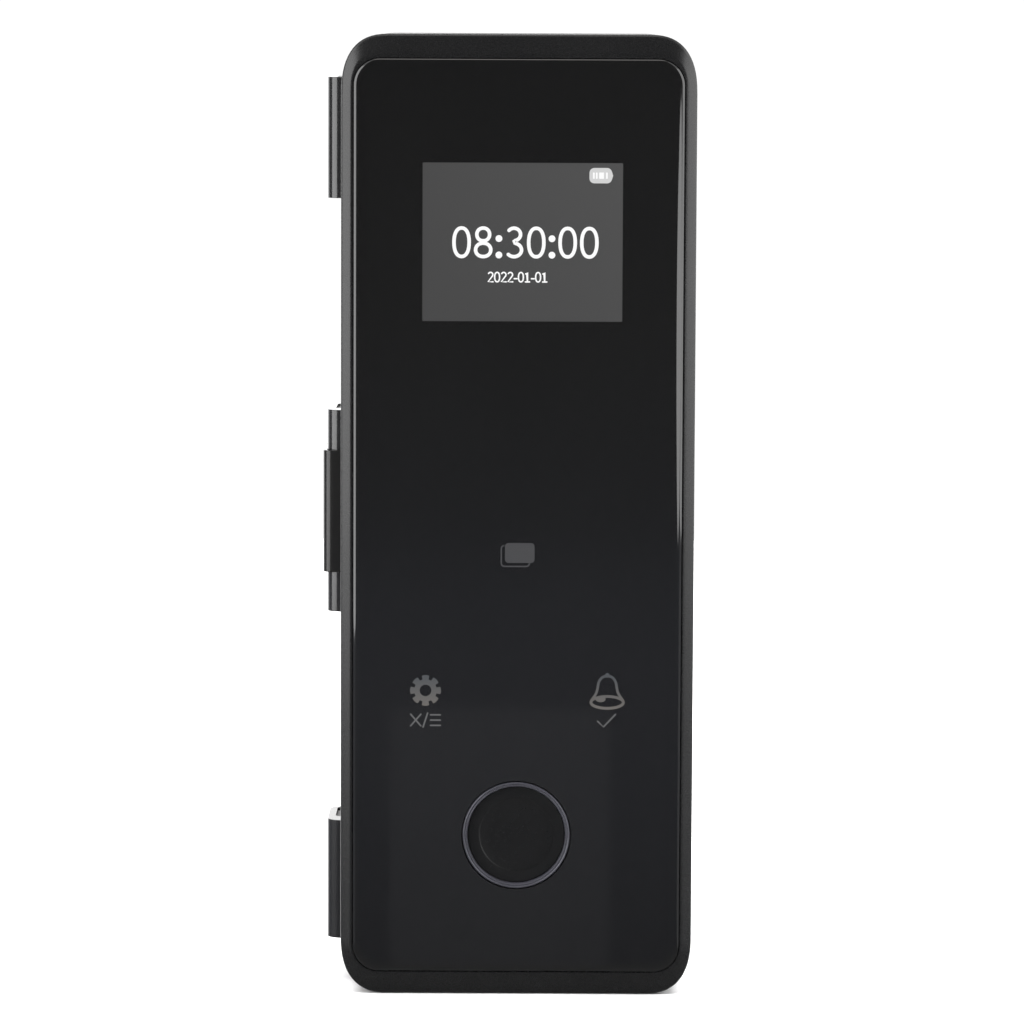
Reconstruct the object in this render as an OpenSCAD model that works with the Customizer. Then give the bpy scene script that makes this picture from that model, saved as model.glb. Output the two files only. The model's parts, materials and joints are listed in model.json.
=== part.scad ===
// Clip-on lock for a frameless glass door. The front unit stands in front of the glass, the
// rear unit behind it, and three U brackets hold both to the edge of the door.
// X points right as seen from the front, +Y through the glass to the rear, and +Z up.
// The origin is the centre of the front unit's pad, on the front face of the glass.

/* [Both units] */
// Width of the front and rear units
body_w = 69.7; // [68:0.1:72]
// Height of the front and rear units
body_h = 190; // [188:1:196]
// Corner radius of the two housings
corner_r = 8.5; // [8:0.5:10]
// Radius of the rounded front and rear edges
edge_r = 3; // [2:0.5:3.5]
// Side wall thickness of the housings
wall = 2.2; // [2:0.1:2.4]
// Thickness of the soft pads that touch the door glass
pad_t = 1.6; // [1.4:0.1:1.8]

/* [Front unit] */
// Depth of the front unit, from the door glass to the cover glass
front_d = 20; // [19.8:0.1:22]
// Width of the cover glass
glass_w = 64.8; // [63.6:0.1:65]
// Height of the cover glass
glass_h = 180.5; // [178:0.1:182]
// Thickness of the cover glass
glass_t = 1.8; // [1.6:0.1:2]
// Corner radius of the cover glass
glass_r = 5.2; // [4:0.1:6]
// Height of the cover glass above the housing's rim
glass_rise = 0.4; // [0.2:0.1:0.6]
// Width of the screen module
screen_w = 46; // [44:0.5:46]
// Height of the screen module
screen_h = 36; // [34:0.5:38]
// Place of the screen's centre, to the right of the middle
screen_x = 0.8; // [0:0.1:1]
// Place of the screen's centre, above the middle
screen_z = 54.5; // [50:0.1:56]
// Place of the touch keys, below the middle
keys_z = -34; // [-34.5:0.1:-33]
// Place of the fingerprint reader, below the middle
finger_z = -62.8; // [-64:0.1:-61]
// Outer radius of the fingerprint bezel
finger_r = 10.6; // [10.2:0.1:11]

/* [Brackets] */
// Width of the slot between the pads, for the door glass
slot = 12; // [10:0.5:12]
// Thickness of the bracket steel
bracket_t = 1.6; // [1.4:0.1:1.8]
// Outer bend radius of the brackets
bend_r = 3; // [2.5:0.1:3.5]
// How far the brackets stand out beyond the side of the units
bracket_out = 3.2; // [3:0.1:3.6]
// How far the brackets' shoulders reach forward beside the front unit
shoulder = 3.4; // [2:0.2:4]
// Height of the top and bottom brackets
bracket_h = 24; // [22:0.5:26]
// Distance from the middle to the centres of the top and bottom brackets
bracket_z = 74.4; // [73:0.1:75]
// Height of the middle bracket
middle_h = 40.5; // [40:0.1:42]
// Height of the cable cover
cover_h = 24.4; // [22:0.1:26]
// Thickness of the cable cover
cover_t = 0.8; // [0.6:0.1:1]
// Outer bend radius of the cable cover
cover_r = 2.2; // [2:0.1:2.6]

/* [Rear unit] */
// Depth of the rear unit, from the door glass to its rear face
rear_d = 30; // [29.6:0.1:32]
// Lower end of the battery cover
lid_z = 22; // [21:0.5:24]
// How far the knob stands behind the rear unit
knob_out = 14; // [12:0.5:18]
// Radius of the knob
knob_r = 15; // [12:0.5:16]
// Radius of the exit button
button_r = 7; // [5:0.5:8]

/* [Bolt and gears] */
// Width of the bolt, across the door glass
bolt_d = 12; // [10:0.5:12]
// Height of the bolt
bolt_h = 20; // [16:0.5:20]
// Module of the rack and the gears
gear_m = 0.8; // [0.8:0.01:0.81]
// Teeth of the drive gear
gear_teeth = 22; // [22:2:24]
// Teeth of the motor pinion
pinion_teeth = 12; // [12:4:16]
// Face width of the gears
gear_w = 6; // [5:0.5:6]
// Play between the teeth, along the pitch line
backlash = 0.16; // [0.12:0.01:0.2]

/* [Hidden] */
$fn = 48;

gap = 0.1;                           // gap between pieces of one unit
slip = 0.3;                          // gap round pieces that move
cut = 1;                             // how far a cut runs past the face that it opens
plate_t = 1.6;                       // back plate and base plate
plate_w = body_w - 2 * wall - 0.4;
plate_h = body_h - 2 * wall - 0.4;
plate_r = corner_r - wall - 0.2;
seal_w = 1.5;
seal_t = 1;

// front unit, from the pad to the cover glass
front_back = -pad_t;                 // open rear end of the front housing
rim_y = -front_d + glass_rise;       // front of the housing's rim
tape_t = 0.3;
glass_back = -front_d + glass_t;
ledge_y = glass_back + tape_t;       // front of the ledge that carries the glass
ledge_t = 1.5;
ledge_in = 3;                        // how far the ledge reaches in under the glass
glass_gap = 0.15;
finger_gap = 0.15;                   // between the bezel and the hole in the glass
board_t = 1.6;
main_y = -9.6;                       // front face of the main board
main_w = 47.6;
main_h = 150;
post_x = 27.2;                       // screw posts from the middle
post_r = 3;
front_post_z = [-86, -30, 30, 86];
usb_w = 9;
usb_t = 3.2;
usb_l = 7.4;

// brackets and what is on them
web_x = -body_w / 2 - bracket_out;   // outer face of the brackets' webs
flange_end = -20;                    // where the flanges end, under the units
groove_d = 0.6;                      // groove for the ribbon in the middle bracket
groove_w = 12;
ribbon_w = 10;
ribbon_t = 0.3;
ribbon_x = -22;                      // where the ribbon turns into the units
ribbon_end = 24.8;                   // where the ribbon ends inside the rear unit
liner_t = 0.9;
screw_x = -27;                       // bracket screws

// rear unit, from the base plate to the rear face
rear_0 = slot + pad_t;               // open front end of the rear housing
base_in = rear_0 + plate_t;          // inner face of the base plate
rear_y = slot + rear_d;              // rear face
rear_wall = 3;
rear_in = rear_y - rear_wall;        // inner face of the rear wall
lid_t = 2;
lid_in = rear_y - lid_t;
lid_w = 59.6;                        // battery cover at its rear face
lid_flare = 1.2;                     // how much wider each side is at its inner face
rear_posts = [[-post_x, 20], [post_x, 20], [-post_x, -42], [post_x, -42],
    [-post_x, -86], [post_x, -86]];
cell_r = 7.1;
cell_l = 49.3;
nub_l = 1.2;
cell_pitch = 14.7;
tray_z0 = 29;
tray_z1 = 89.6;
tray_x = 31.2;
tray_wall = 1.4;
tray_floor = 22;                     // front face of the tray's floor
tray_top = rear_in - gap;
tray_mid = (tray_z0 + tray_z1) / 2;
cell_y = tray_floor + tray_wall + cell_r + slip;
cell_0 = 36.4 - tray_mid;            // lower end of a cell that points up

// bolt, gears and motor
bolt_y = 24.4;                       // middle of the bolt and the gears
bolt_tip = -body_w / 2 + 0.5;        // free end of the bolt, drawn back
nose_end = -8;
tail_end = 22;
tail_top = 6;
case_t = 1.2;
case_gap = 0.4;
case_x0 = -body_w / 2 + wall + 0.1;
case_x1 = 24;
case_y0 = bolt_y - bolt_d / 2 - case_gap - case_t;
case_y1 = bolt_y + bolt_d / 2 + case_gap + case_t;
case_z = bolt_h / 2 + case_gap + case_t;
case_mouth = -12;                    // where the case's underside opens for the gear
gear_r = gear_m * gear_teeth / 2;
pinion_r = gear_m * pinion_teeth / 2;
rack_z = -8.2;                       // pitch line of the rack
gear_z = rack_z - gear_r;
pinion_z = gear_z - gear_r - pinion_r;
rack_pitch = PI * gear_m;
addendum = 0.85 * gear_m;
dedendum = 1.15 * gear_m;
pressure = 20;
shaft_r = 3;
fit = 0.04;                          // running clearance of shafts
bush_r = 4.4;
gearbox = 16;
gearbox_d = 9;
bracket_y = bolt_y + gear_w / 2 + 0.6;
gearbox_y = bracket_y + 1.2;
motor_r = 5;
motor_l = 20;
control_y = 30;
control_z = [-90, -45];
button_z = -62;
button_travel = 1.2;
switch_y = 35;                       // top of the exit switch

module rounded(w, h, r) {
    square([w - 2 * r, h], center = true);
    square([w, h - 2 * r], center = true);
    for (x = [-1, 1], y = [-1, 1]) translate([x * (w / 2 - r), y * (h / 2 - r)]) circle(r);
}

// A flat outline in X and Z, made solid from y0 to y1
module slab(y0, y1) {
    translate([0, y1, 0]) rotate([90, 0, 0]) linear_extrude(y1 - y0) children();
}

// A round piece along Y
module rod(r, y0, y1, x = 0, z = 0) {
    translate([x, y1, z]) rotate([90, 0, 0]) cylinder(r = r, h = y1 - y0);
}

// A box between two corners
module block(a, b) {
    translate(a) cube(b - a);
}

module ring(w, h, r, t) {
    difference() {
        rounded(w, h, r);
        rounded(w - 2 * t, h - 2 * t, r - t);
    }
}

// A block that stands on z = 0, with its upper edge rounded all the way round
module soft_block(w, h, r, d, edge) {
    linear_extrude(d - edge) rounded(w, h, r);
    linear_extrude(d) rounded(w - 2 * edge, h - 2 * edge, r - edge);
    for (x = [-1, 1], y = [-1, 1])
        translate([x * (w / 2 - r), y * (h / 2 - r), d - edge]) rotate_extrude()
            translate([r - edge, 0]) circle(edge);
    for (x = [-1, 1])
        translate([x * (w / 2 - edge), 0, d - edge]) rotate([90, 0, 0])
            cylinder(r = edge, h = h - 2 * r, center = true);
    for (y = [-1, 1])
        translate([0, y * (h / 2 - edge), d - edge]) rotate([0, 90, 0])
            cylinder(r = edge, h = w - 2 * r, center = true);
}

// Countersunk screw along Y: its head's face is at y = 0 and its shank points to -Y
module screw(head_r, shank_r, length) {
    head_l = head_r - shank_r;
    difference() {
        union() {
            rotate([90, 0, 0]) cylinder(r1 = head_r, r2 = shank_r, h = head_l);
            rod(shank_r, -length, -head_l + 0.01);
        }
        rotate([90, 30, 0]) translate([0, 0, -cut]) cylinder(r = shank_r, h = cut + 0.6, $fn = 6);
    }
}

// The space that such a screw takes in a plate
module screw_hole(head_r, shank_r, length) {
    rotate([90, 0, 0]) cylinder(r1 = head_r + 0.1, r2 = shank_r + 0.1, h = head_r - shank_r);
    rod(shank_r + 0.1, -length, 0);
    rod(head_r + 0.1, -0.001, cut);
}

module front_outline() {
    translate([0, front_back, 0]) rotate([90, 0, 0])
        soft_block(body_w, body_h, corner_r, front_back - rim_y, edge_r);
}

module rear_outline() {
    translate([0, rear_0, 0]) rotate([-90, 0, 0])
        soft_block(body_w, body_h, corner_r, rear_y - rear_0, edge_r);
}

// ---- front unit ----

module front_housing() color([0.09, 0.09, 0.1]) difference() {
    union() {
        difference() {
            front_outline();
            slab(-front_d - cut, ledge_y)
                rounded(glass_w + 2 * glass_gap, glass_h + 2 * glass_gap, glass_r);
            slab(-front_d, 0)
                rounded(glass_w - 2 * ledge_in, glass_h - 2 * ledge_in, glass_r - ledge_in);
            slab(ledge_y + ledge_t, cut)
                rounded(body_w - 2 * wall, body_h - 2 * wall, corner_r - wall);
        }
        for (x = [-1, 1], z = front_post_z) {
            rod(post_r, ledge_y + 0.5, front_back - plate_t, x * post_x, z);
            block([x > 0 ? post_x : -body_w / 2 + 1, ledge_y + 0.5, z - 1],
                [x > 0 ? body_w / 2 - 1 : -post_x, front_back - plate_t - seal_t - 0.2, z + 1]);
        }
    }
    for (x = [-1, 1], z = front_post_z)
        rod(1.25, ledge_y + 4, cut, x * post_x, z);
    translate([0, main_y - usb_t / 2 - gap, -body_h / 2]) linear_extrude(2 * wall + cut, center = true)
        rounded(usb_w + 0.3, usb_t + 0.3, usb_t / 2);
}

module glass_panel() color([0.03, 0.03, 0.04]) difference() {
    slab(-front_d, glass_back) rounded(glass_w, glass_h, glass_r);
    rod(finger_r + finger_gap, -front_d - cut, 0, 0, finger_z);
}

module glass_tape() color([0.15, 0.15, 0.15]) slab(glass_back, ledge_y)
    ring(glass_w - 0.6, glass_h - 0.6, glass_r - 0.3, 2.4);

module display_module() color([0.3, 0.3, 0.31]) {
    slab(glass_back + gap, glass_back + gap + 2.4)
        translate([screen_x, screen_z]) square([screen_w, screen_h], center = true);
    slab(glass_back + gap + 2.4, glass_back + gap + 2.6)
        translate([screen_x, screen_z - screen_h / 2 + 5]) square([12, 20], center = true);
}

module light_guide() color([0.85, 0.87, 0.9]) slab(glass_back + gap, glass_back + gap + 1.5)
    difference() {
        translate([0, keys_z + 11]) rounded(main_w - 1, 46, 2);
        for (x = [-1, 1]) translate([x * 20, keys_z - 8]) circle(1.5);
    }

module touch_key_board() color([0.05, 0.25, 0.15]) {
    y = glass_back + gap + 1.6;
    slab(y, y + 1) translate([0, keys_z + 11]) rounded(main_w - 1, 46, 2);
    for (x = [-18, -6, 6, 18]) block([x - 1.5, y + 1, keys_z + 2], [x + 1.5, y + 1.8, keys_z + 5]);
    block([-6, y + 1, keys_z + 26], [6, y + 2.4, keys_z + 31]);
}

module fingerprint_bezel() color([0.3, 0.3, 0.36]) translate([0, 0, finger_z]) rotate([90, 0, 0])
    rotate_extrude() polygon([
        [finger_r - 0.9, -glass_back - 1.4], [finger_r + 1.6, -glass_back - 1.4],
        [finger_r + 1.6, -glass_back - 0.2], [finger_r, -glass_back - 0.2],
        [finger_r, front_d - 0.1], [finger_r - 0.3, front_d + 0.1],
        [finger_r - 0.6, front_d + 0.1], [finger_r - 0.9, front_d - 0.3]]);

module fingerprint_sensor() color([0.03, 0.03, 0.03]) difference() {
    rod(finger_r - 1, -front_d + 1, -front_d + 3.4, 0, finger_z);
    rod(7.1, -front_d, -front_d + 1.25, 0, finger_z);
}

module fingerprint_board() color([0.05, 0.25, 0.15]) {
    y = -front_d + 3.5;
    slab(y, y + 1) translate([0, finger_z]) rounded(24, 24, 3);
    block([-5, y + 1, finger_z - 4], [5, y + 2.2, finger_z + 4]);
    block([6, y + 1, finger_z - 6], [9, y + 2.6, finger_z + 6]);
}

module card_antenna() color([0.7, 0.45, 0.25]) slab(-14.6, -14)
    translate([0, -6]) ring(44, 34, 4, 3.5);

module main_board() color([0.05, 0.25, 0.15]) {
    difference() {
        slab(main_y, main_y + board_t) rounded(main_w, main_h, 2);
        for (x = [-1, 1], z = [-1, 1]) rod(1.2, main_y - cut, 0, x * 20, z * 70);
    }
    block([-7, main_y - 1.2, 12], [7, main_y, 26]);
    block([-18, main_y - 1, -24], [-10, main_y, -14]);
    block([10, main_y - 1.6, -30], [16, main_y, -20]);
    block([-15, main_y - 2, 38], [15, main_y, 42]);
    block([-23.5, main_y + board_t, -6.5], [-20.5, -5.5, 6.5]);
    for (z = [-50:8:-26]) block([-2, main_y - 0.8, z], [2, main_y, z + 3]);
    difference() {
        block([-usb_w / 2, main_y - usb_t - gap, -main_h / 2 - 5], [usb_w / 2, main_y, -main_h / 2 + 3]);
        block([-usb_w, main_y - usb_t - cut, -main_h], [usb_w, main_y + cut, -main_h / 2 - 0.001]);
    }
}

module buzzer() color([0.1, 0.1, 0.1]) difference() {
    rod(6, main_y - 3.6, main_y - gap, 14, -58);
    rod(1, main_y - 4, main_y - 2, 14, -58);
}

module usb_socket() color([0.75, 0.76, 0.78])
    translate([0, main_y - usb_t / 2 - gap, -body_h / 2 + 0.3]) difference() {
        linear_extrude(usb_l) rounded(usb_w, usb_t, usb_t / 2 - 0.01);
        translate([0, 0, -cut]) linear_extrude(usb_l)
            rounded(usb_w - 0.6, usb_t - 0.6, usb_t / 2 - 0.31);
    }

module front_board_standoffs() color([0.75, 0.6, 0.3]) for (x = [-1, 1], z = [-1, 1])
    difference() {
        translate([x * 20, front_back - plate_t, z * 70]) rotate([90, 0, 0])
            cylinder(r = 2.6, h = front_back - plate_t - main_y - board_t, $fn = 6);
        rod(1, -front_d, 0, x * 20, z * 70);
    }

module front_seal() color([0.2, 0.2, 0.2])
    slab(front_back - plate_t - seal_t, front_back - plate_t)
        ring(plate_w, plate_h, plate_r, seal_w);

module front_back_plate() color([0.6, 0.62, 0.64]) difference() {
    slab(front_back - plate_t, front_back) rounded(plate_w, plate_h, plate_r);
    for (x = [-1, 1], z = front_post_z) translate([x * post_x, front_back, z])
        screw_hole(2.3, 1.2, 9);
    bracket_screw_places() translate([0, front_back, 0]) rod(1.5, -5, cut);
    slab(-5, cut) translate([ribbon_x, 0]) square([1.4, ribbon_w + 1.2], center = true);
}

module front_plate_screws() color([0.4, 0.4, 0.42]) for (x = [-1, 1], z = front_post_z)
    translate([x * post_x, front_back, z]) screw(2.3, 1.2, 9);

// Outline of a unit's pad, cut away where the bracket flanges lie
module pad_outline() {
    difference() {
        rounded(body_w - 1, body_h - 1, corner_r - 0.5);
        for (b = [[-bracket_z, bracket_h], [0, middle_h], [bracket_z, bracket_h]])
            translate([-body_w + flange_end + 0.3, b[0] - b[1] / 2 - 0.3])
                square([body_w, b[1] + 0.6]);
    }
}

module front_pad() color([0.12, 0.12, 0.12]) slab(front_back, 0) pad_outline();

// ---- brackets ----

// Outline of a U in X and Y, as large as a bracket grown by g on its outside
module u_outline(g) {
    x0 = web_x - g;
    y0 = -bracket_t - g;
    y1 = slot + bracket_t + g;
    r = bend_r + g;
    for (y = [y0 + r, y1 - r]) translate([x0 + r, y]) circle(r);
    translate([x0, y0 + r]) square([r, y1 - y0 - 2 * r]);
    translate([x0 + r, y0]) square([flange_end - x0 - r, y1 - y0]);
}

// Outline of a bracket with its shoulder, grown by g and with its corners rounded by r
module shouldered(g, r) {
    x0 = web_x - g;
    x1 = -body_w / 2 - gap;
    y0 = -bracket_t - shoulder - g;
    y1 = slot + bracket_t + g;
    difference() {
        union() {
            for (y = [y0 + r, y1 - r]) translate([x0 + r, y]) circle(r);
            translate([x0, y0 + r]) square([r, y1 - y0 - 2 * r]);
            translate([x0 + r, y0]) square([x1 - x0 - r, y1 - y0]);
        }
        translate([x1, y0 - cut]) square([2 * r, -bracket_t - y0 + cut]);
    }
    translate([x1, -bracket_t]) square([flange_end - x1, slot + 2 * bracket_t]);
}

// The space inside a bracket, open to +X
module u_hollow() {
    x0 = web_x + bracket_t;
    r = bend_r - bracket_t;
    for (y = [r, slot - r]) translate([x0 + r, y]) circle(r);
    translate([x0, r]) square([r, slot - 2 * r]);
    translate([x0 + r, 0]) square([body_w, slot]);
}

module bracket_screw_places() for (b = [[-bracket_z, 6], [0, 14], [bracket_z, 6]], s = [-1, 1])
    translate([screw_x, 0, b[0] + s * b[1]]) children();

// A bracket around the edge of the glass, with its countersunk holes
module bracket(z, h, hole) {
    difference() {
        translate([0, 0, z - h / 2]) linear_extrude(h) difference() {
            shouldered(0, bend_r);
            u_hollow();
        }
        for (s = [-1, 1]) translate([screw_x, 0, z + s * hole]) {
            screw_hole(2.6, 1.4, 4);
            translate([0, slot, 0]) mirror([0, 1, 0]) screw_hole(2.6, 1.4, 4);
        }
    }
}

module top_bracket() color([0.12, 0.12, 0.13]) bracket(bracket_z, bracket_h, 6);
module bottom_bracket() color([0.12, 0.12, 0.13]) bracket(-bracket_z, bracket_h, 6);

module middle_bracket() color([0.12, 0.12, 0.13]) difference() {
    bracket(0, middle_h, 14);
    translate([0, 0, -groove_w / 2]) linear_extrude(groove_w) difference() {
        translate([web_x - cut, -bracket_t - shoulder - cut])
            square([ribbon_x - 0.7 - web_x + 2 * cut, slot + 2 * bracket_t + shoulder + 2 * cut]);
        u_outline(-groove_d);
    }
}

module cable_cover() color([0.11, 0.11, 0.12]) translate([0, 0, -cover_h / 2])
    linear_extrude(cover_h) difference() {
        shouldered(cover_t, cover_r);
        shouldered(0, cover_r - cover_t);
        translate([-body_w / 2 - 0.2, -slot]) square([body_w, 3 * slot]);
    }

// The ribbon lies in the groove and turns into both units
module ribbon_cable() color([0.8, 0.8, 0.78]) translate([0, 0, -ribbon_w / 2])
    linear_extrude(ribbon_w) {
        difference() {
            u_outline(-gap);
            u_outline(-gap - ribbon_t);
            translate([ribbon_x, -slot]) square([body_w, 3 * slot]);
        }
        translate([ribbon_x - ribbon_t, -5.5]) square([ribbon_t, 5.5 - bracket_t + gap + ribbon_t]);
        translate([ribbon_x - ribbon_t, slot + bracket_t - gap - ribbon_t])
            square([ribbon_t, base_in + 0.5 - slot - bracket_t + gap + ribbon_t]);
        translate([ribbon_x - ribbon_t, base_in + 0.2]) square([ribbon_end - ribbon_x, ribbon_t]);
    }

module edge_pads() color([0.5, 0.5, 0.5])
    for (b = [[-bracket_z, bracket_h], [0, middle_h], [bracket_z, bracket_h]]) {
        x = web_x + bracket_t;
        block([x, 1.6, b[0] - b[1] / 2 + 0.5], [x + liner_t, slot - 1.6, b[0] + b[1] / 2 - 0.5]);
    }

module front_bracket_screws() color([0.4, 0.4, 0.42]) bracket_screw_places() screw(2.6, 1.4, 4.4);

module rear_bracket_screws() color([0.4, 0.4, 0.42]) bracket_screw_places()
    translate([0, slot, 0]) mirror([0, 1, 0]) screw(2.6, 1.4, 4.4);

// ---- rear unit ----

module rear_pad() color([0.12, 0.12, 0.12]) slab(slot, rear_0) pad_outline();

module rear_base_plate() color([0.6, 0.62, 0.64]) difference() {
    union() {
        slab(rear_0, base_in) rounded(plate_w, plate_h, plate_r);
        for (x = [-1, 1]) block([x * 18 - 5, rear_0 + 0.3, plate_h / 2 - 1],
            [x * 18 + 5, base_in - 0.3, plate_h / 2 + 1.4]);
    }
    for (p = rear_posts) translate([p[0], rear_0, p[1]]) mirror([0, 1, 0]) screw_hole(2.3, 1.2, 9);
    bracket_screw_places() rod(1.5, slot, base_in + cut);
    rod(bush_r + 0.02, slot, base_in + cut, 0, gear_z);
    slab(slot, base_in + cut) translate([ribbon_x - ribbon_t / 2, 0])
        square([1.4, ribbon_w + 1.2], center = true);
}

module rear_seal() color([0.2, 0.2, 0.2]) slab(base_in, base_in + seal_t)
    ring(plate_w, plate_h, plate_r, seal_w);

// Section of the battery cover in X and Y, grown by g. Its sides lean in like a dovetail.
module lid_section(g) {
    w = lid_w / 2 + g;
    polygon([[-w - lid_flare, lid_in + gap - g], [w + lid_flare, lid_in + gap - g],
        [w, rear_y + (g > 0 ? cut : 0)], [-w, rear_y + (g > 0 ? cut : 0)]]);
}

module rear_housing() color([0.09, 0.09, 0.1]) difference() {
    union() {
        difference() {
            rear_outline();
            slab(rear_0 - cut, rear_in)
                rounded(body_w - 2 * wall, body_h - 2 * wall, corner_r - wall);
        }
        for (p = rear_posts) rod(post_r, base_in, rear_in + 0.5, p[0], p[1]);
    }
    for (p = rear_posts) rod(1.25, rear_0, base_in + 12, p[0], p[1]);
    translate([0, 0, lid_z - slip]) linear_extrude(body_h) lid_section(gap);
    block([-tray_x + 1, rear_in - cut, tray_z0 + 1], [tray_x - 1, rear_y, tray_z1 - 1]);
    block([-body_w, bolt_y - bolt_d / 2 - slip, -bolt_h / 2 - slip],
        [case_x0 + 0.1, bolt_y + bolt_d / 2 + slip, bolt_h / 2 + slip]);
    for (s = [-1, 1]) translate([-body_w / 2 - cut, bolt_y, s * 13.2]) rotate([0, 90, 0])
        cylinder(r = 1.3, h = wall + 2 * cut);
    rod(bush_r + 0.02, rear_in - cut, rear_y + cut, 0, gear_z);
    rod(button_r + slip, rear_in - cut, rear_y + cut, 0, button_z);
    for (x = [-1, 1]) block([x * 18 - 5.2, rear_0 + 0.1, body_h / 2 - wall - cut],
        [x * 18 + 5.2, base_in - 0.1, plate_h / 2 + 1.6]);
}

module rear_plate_screws() color([0.4, 0.4, 0.42]) for (p = rear_posts)
    translate([p[0], rear_0, p[1]]) mirror([0, 1, 0]) screw(2.3, 1.2, 9);

module battery_cover() color([0.1, 0.1, 0.11]) difference() {
    intersection() {
        rear_outline();
        translate([0, 0, lid_z]) linear_extrude(body_h) lid_section(0);
    }
    for (i = [0:5]) translate([0, rear_y, lid_z + 8 + 2.4 * i]) rotate([0, 90, 0])
        cylinder(r = 0.6, h = 22, center = true);
}

module battery_tray() color([0.16, 0.16, 0.17]) difference() {
    block([-tray_x, tray_floor, tray_z0], [tray_x, tray_top, tray_z1]);
    block([-tray_x + tray_wall, tray_floor + tray_wall, tray_z0 + tray_wall],
        [tray_x - tray_wall, tray_top + cut, tray_z1 - tray_wall]);
}

module at_cells() for (i = [0:3])
    translate([(i - 1.5) * cell_pitch, cell_y, tray_mid]) mirror([0, 0, i % 2]) children();

module batteries() color([0.2, 0.4, 0.25]) at_cells() translate([0, 0, cell_0]) {
    cylinder(r = cell_r, h = cell_l);
    cylinder(r = 2.7, h = cell_l + nub_l);
}

module battery_contacts() color([0.75, 0.75, 0.72]) at_cells() {
    end = (tray_z1 - tray_z0) / 2 - tray_wall;
    translate([-5, -5, end - 0.6]) cube([10, 10, 0.5]);
    translate([-5, -5, -end + 0.1]) cube([10, 10, 0.5]);
    translate([0, 0, -end + 0.6]) difference() {
        cylinder(r1 = 4.5, r2 = 3, h = cell_0 + end - 0.7);
        translate([0, 0, -cut]) cylinder(r = 2.2, h = 10);
    }
}

module bolt_case() color([0.65, 0.66, 0.68]) {
    difference() {
        block([case_x0, case_y0, -case_z], [case_x1, case_y1, case_z]);
        block([case_x0 - cut, case_y0 + case_t, -case_z + case_t],
            [case_x1 - case_t, case_y1 - case_t, case_z - case_t]);
        block([case_mouth, case_y0 + case_t, -case_z - cut],
            [case_x1 - case_t, case_y1 - case_t, 0]);
        block([-gear_r - 2, case_y0 - cut, -case_z - cut], [gear_r + 2, case_y1 + cut, -case_z + 1.8]);
    }
    for (x = [-28, 20], z = [-8.6, 8.6]) rod(2.4, base_in, case_y0, x, z);
}

module bolt_faceplate() color([0.75, 0.76, 0.78]) translate([-body_w / 2, bolt_y, 0])
    rotate([0, -90, 0]) difference() {
        linear_extrude(0.8) rounded(32, 17, 2);
        translate([0, 0, -cut]) linear_extrude(3)
            square([bolt_h + 2 * slip, bolt_d + 2 * slip], center = true);
        for (s = [-1, 1]) translate([s * 13.2, 0, -cut]) cylinder(r = 1.3, h = 3);
        for (s = [-1, 1]) translate([s * 13.2, 0, 0]) cylinder(r1 = 1.3, r2 = 2.1, h = 0.801);
    }

module faceplate_screws() color([0.5, 0.5, 0.52]) for (s = [-1, 1])
    translate([-body_w / 2 - 0.8, bolt_y, s * 13.2]) rotate([0, 0, 90]) screw(2, 1.2, 4.4);

// Flank shape of a gear: half the angle of a tooth at radius r
function involute(a) = tan(a) * 180 / PI - a;
function tooth_half(teeth, r) =
    let (pitch_r = gear_m * teeth / 2, base_r = pitch_r * cos(pressure))
    90 / teeth - backlash / 4 / pitch_r * 180 / PI + involute(pressure)
        - involute(acos(min(1, base_r / max(r, base_r))));

// Outline of a gear with a tooth at its top, turned by a share of a pitch
module gear_outline(teeth, turn) {
    pitch_r = gear_m * teeth / 2;
    root_r = pitch_r - dedendum;
    tip_r = pitch_r + addendum;
    low_r = max(root_r, pitch_r * cos(pressure));
    steps = 6;
    flank = concat([root_r], [for (i = [0:steps]) low_r + (tip_r - low_r) * i / steps]);
    polygon([for (k = [0:teeth - 1], side = [1, -1], j = [0:len(flank) - 1])
        let (r = side > 0 ? flank[j] : flank[len(flank) - 1 - j],
            a = 90 - (k + turn) * 360 / teeth + side * tooth_half(teeth, r))
        [r * cos(a), r * sin(a)]]);
}

// Outline of the bolt's tail in X and Z, with the rack along its lower edge
module tail_outline() {
    tip = rack_pitch / 4 - backlash / 4 - addendum * tan(pressure);
    root = rack_pitch / 4 - backlash / 4 + dedendum * tan(pressure);
    top = rack_z + dedendum;
    translate([nose_end - 2, top]) square([tail_end - nose_end + 2, tail_top - top]);
    for (k = [-2:7]) translate([(k + 0.5) * rack_pitch, rack_z])
        polygon([[-root, dedendum + 0.01], [root, dedendum + 0.01], [tip, -addendum],
            [-tip, -addendum]]);
}

module deadbolt() color([0.8, 0.81, 0.83]) {
    difference() {
        translate([nose_end, bolt_y, 0]) rotate([0, -90, 0])
            linear_extrude(nose_end - bolt_tip) rounded(bolt_h, bolt_d, 1);
        for (s = [-1, 1]) translate([bolt_tip, bolt_y + s * bolt_d / 2, 0]) rotate([0, 0, 45])
            cube([1.6, 1.6, 2 * bolt_h], center = true);
    }
    slab(bolt_y - gear_w / 2, bolt_y + gear_w / 2) tail_outline();
}

module bolt_switches() color([0.12, 0.12, 0.12]) for (x = [-5, 13.5])
    block([x, bolt_y - 3, tail_top + 0.8], [x + 6.4, bolt_y + 3, case_z - case_t - gap]);

module drive_gear() color([0.7, 0.71, 0.73]) difference() {
    union() {
        slab(bolt_y - gear_w / 2, bolt_y + gear_w / 2) translate([0, gear_z])
            gear_outline(gear_teeth, 0);
        rod(5.4, bolt_y + gear_w / 2 - 0.5, bolt_y + gear_w / 2 + 3, 0, gear_z);
    }
    rod(shaft_r + 0.02, rear_0, rear_y, 0, gear_z);
}

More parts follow.
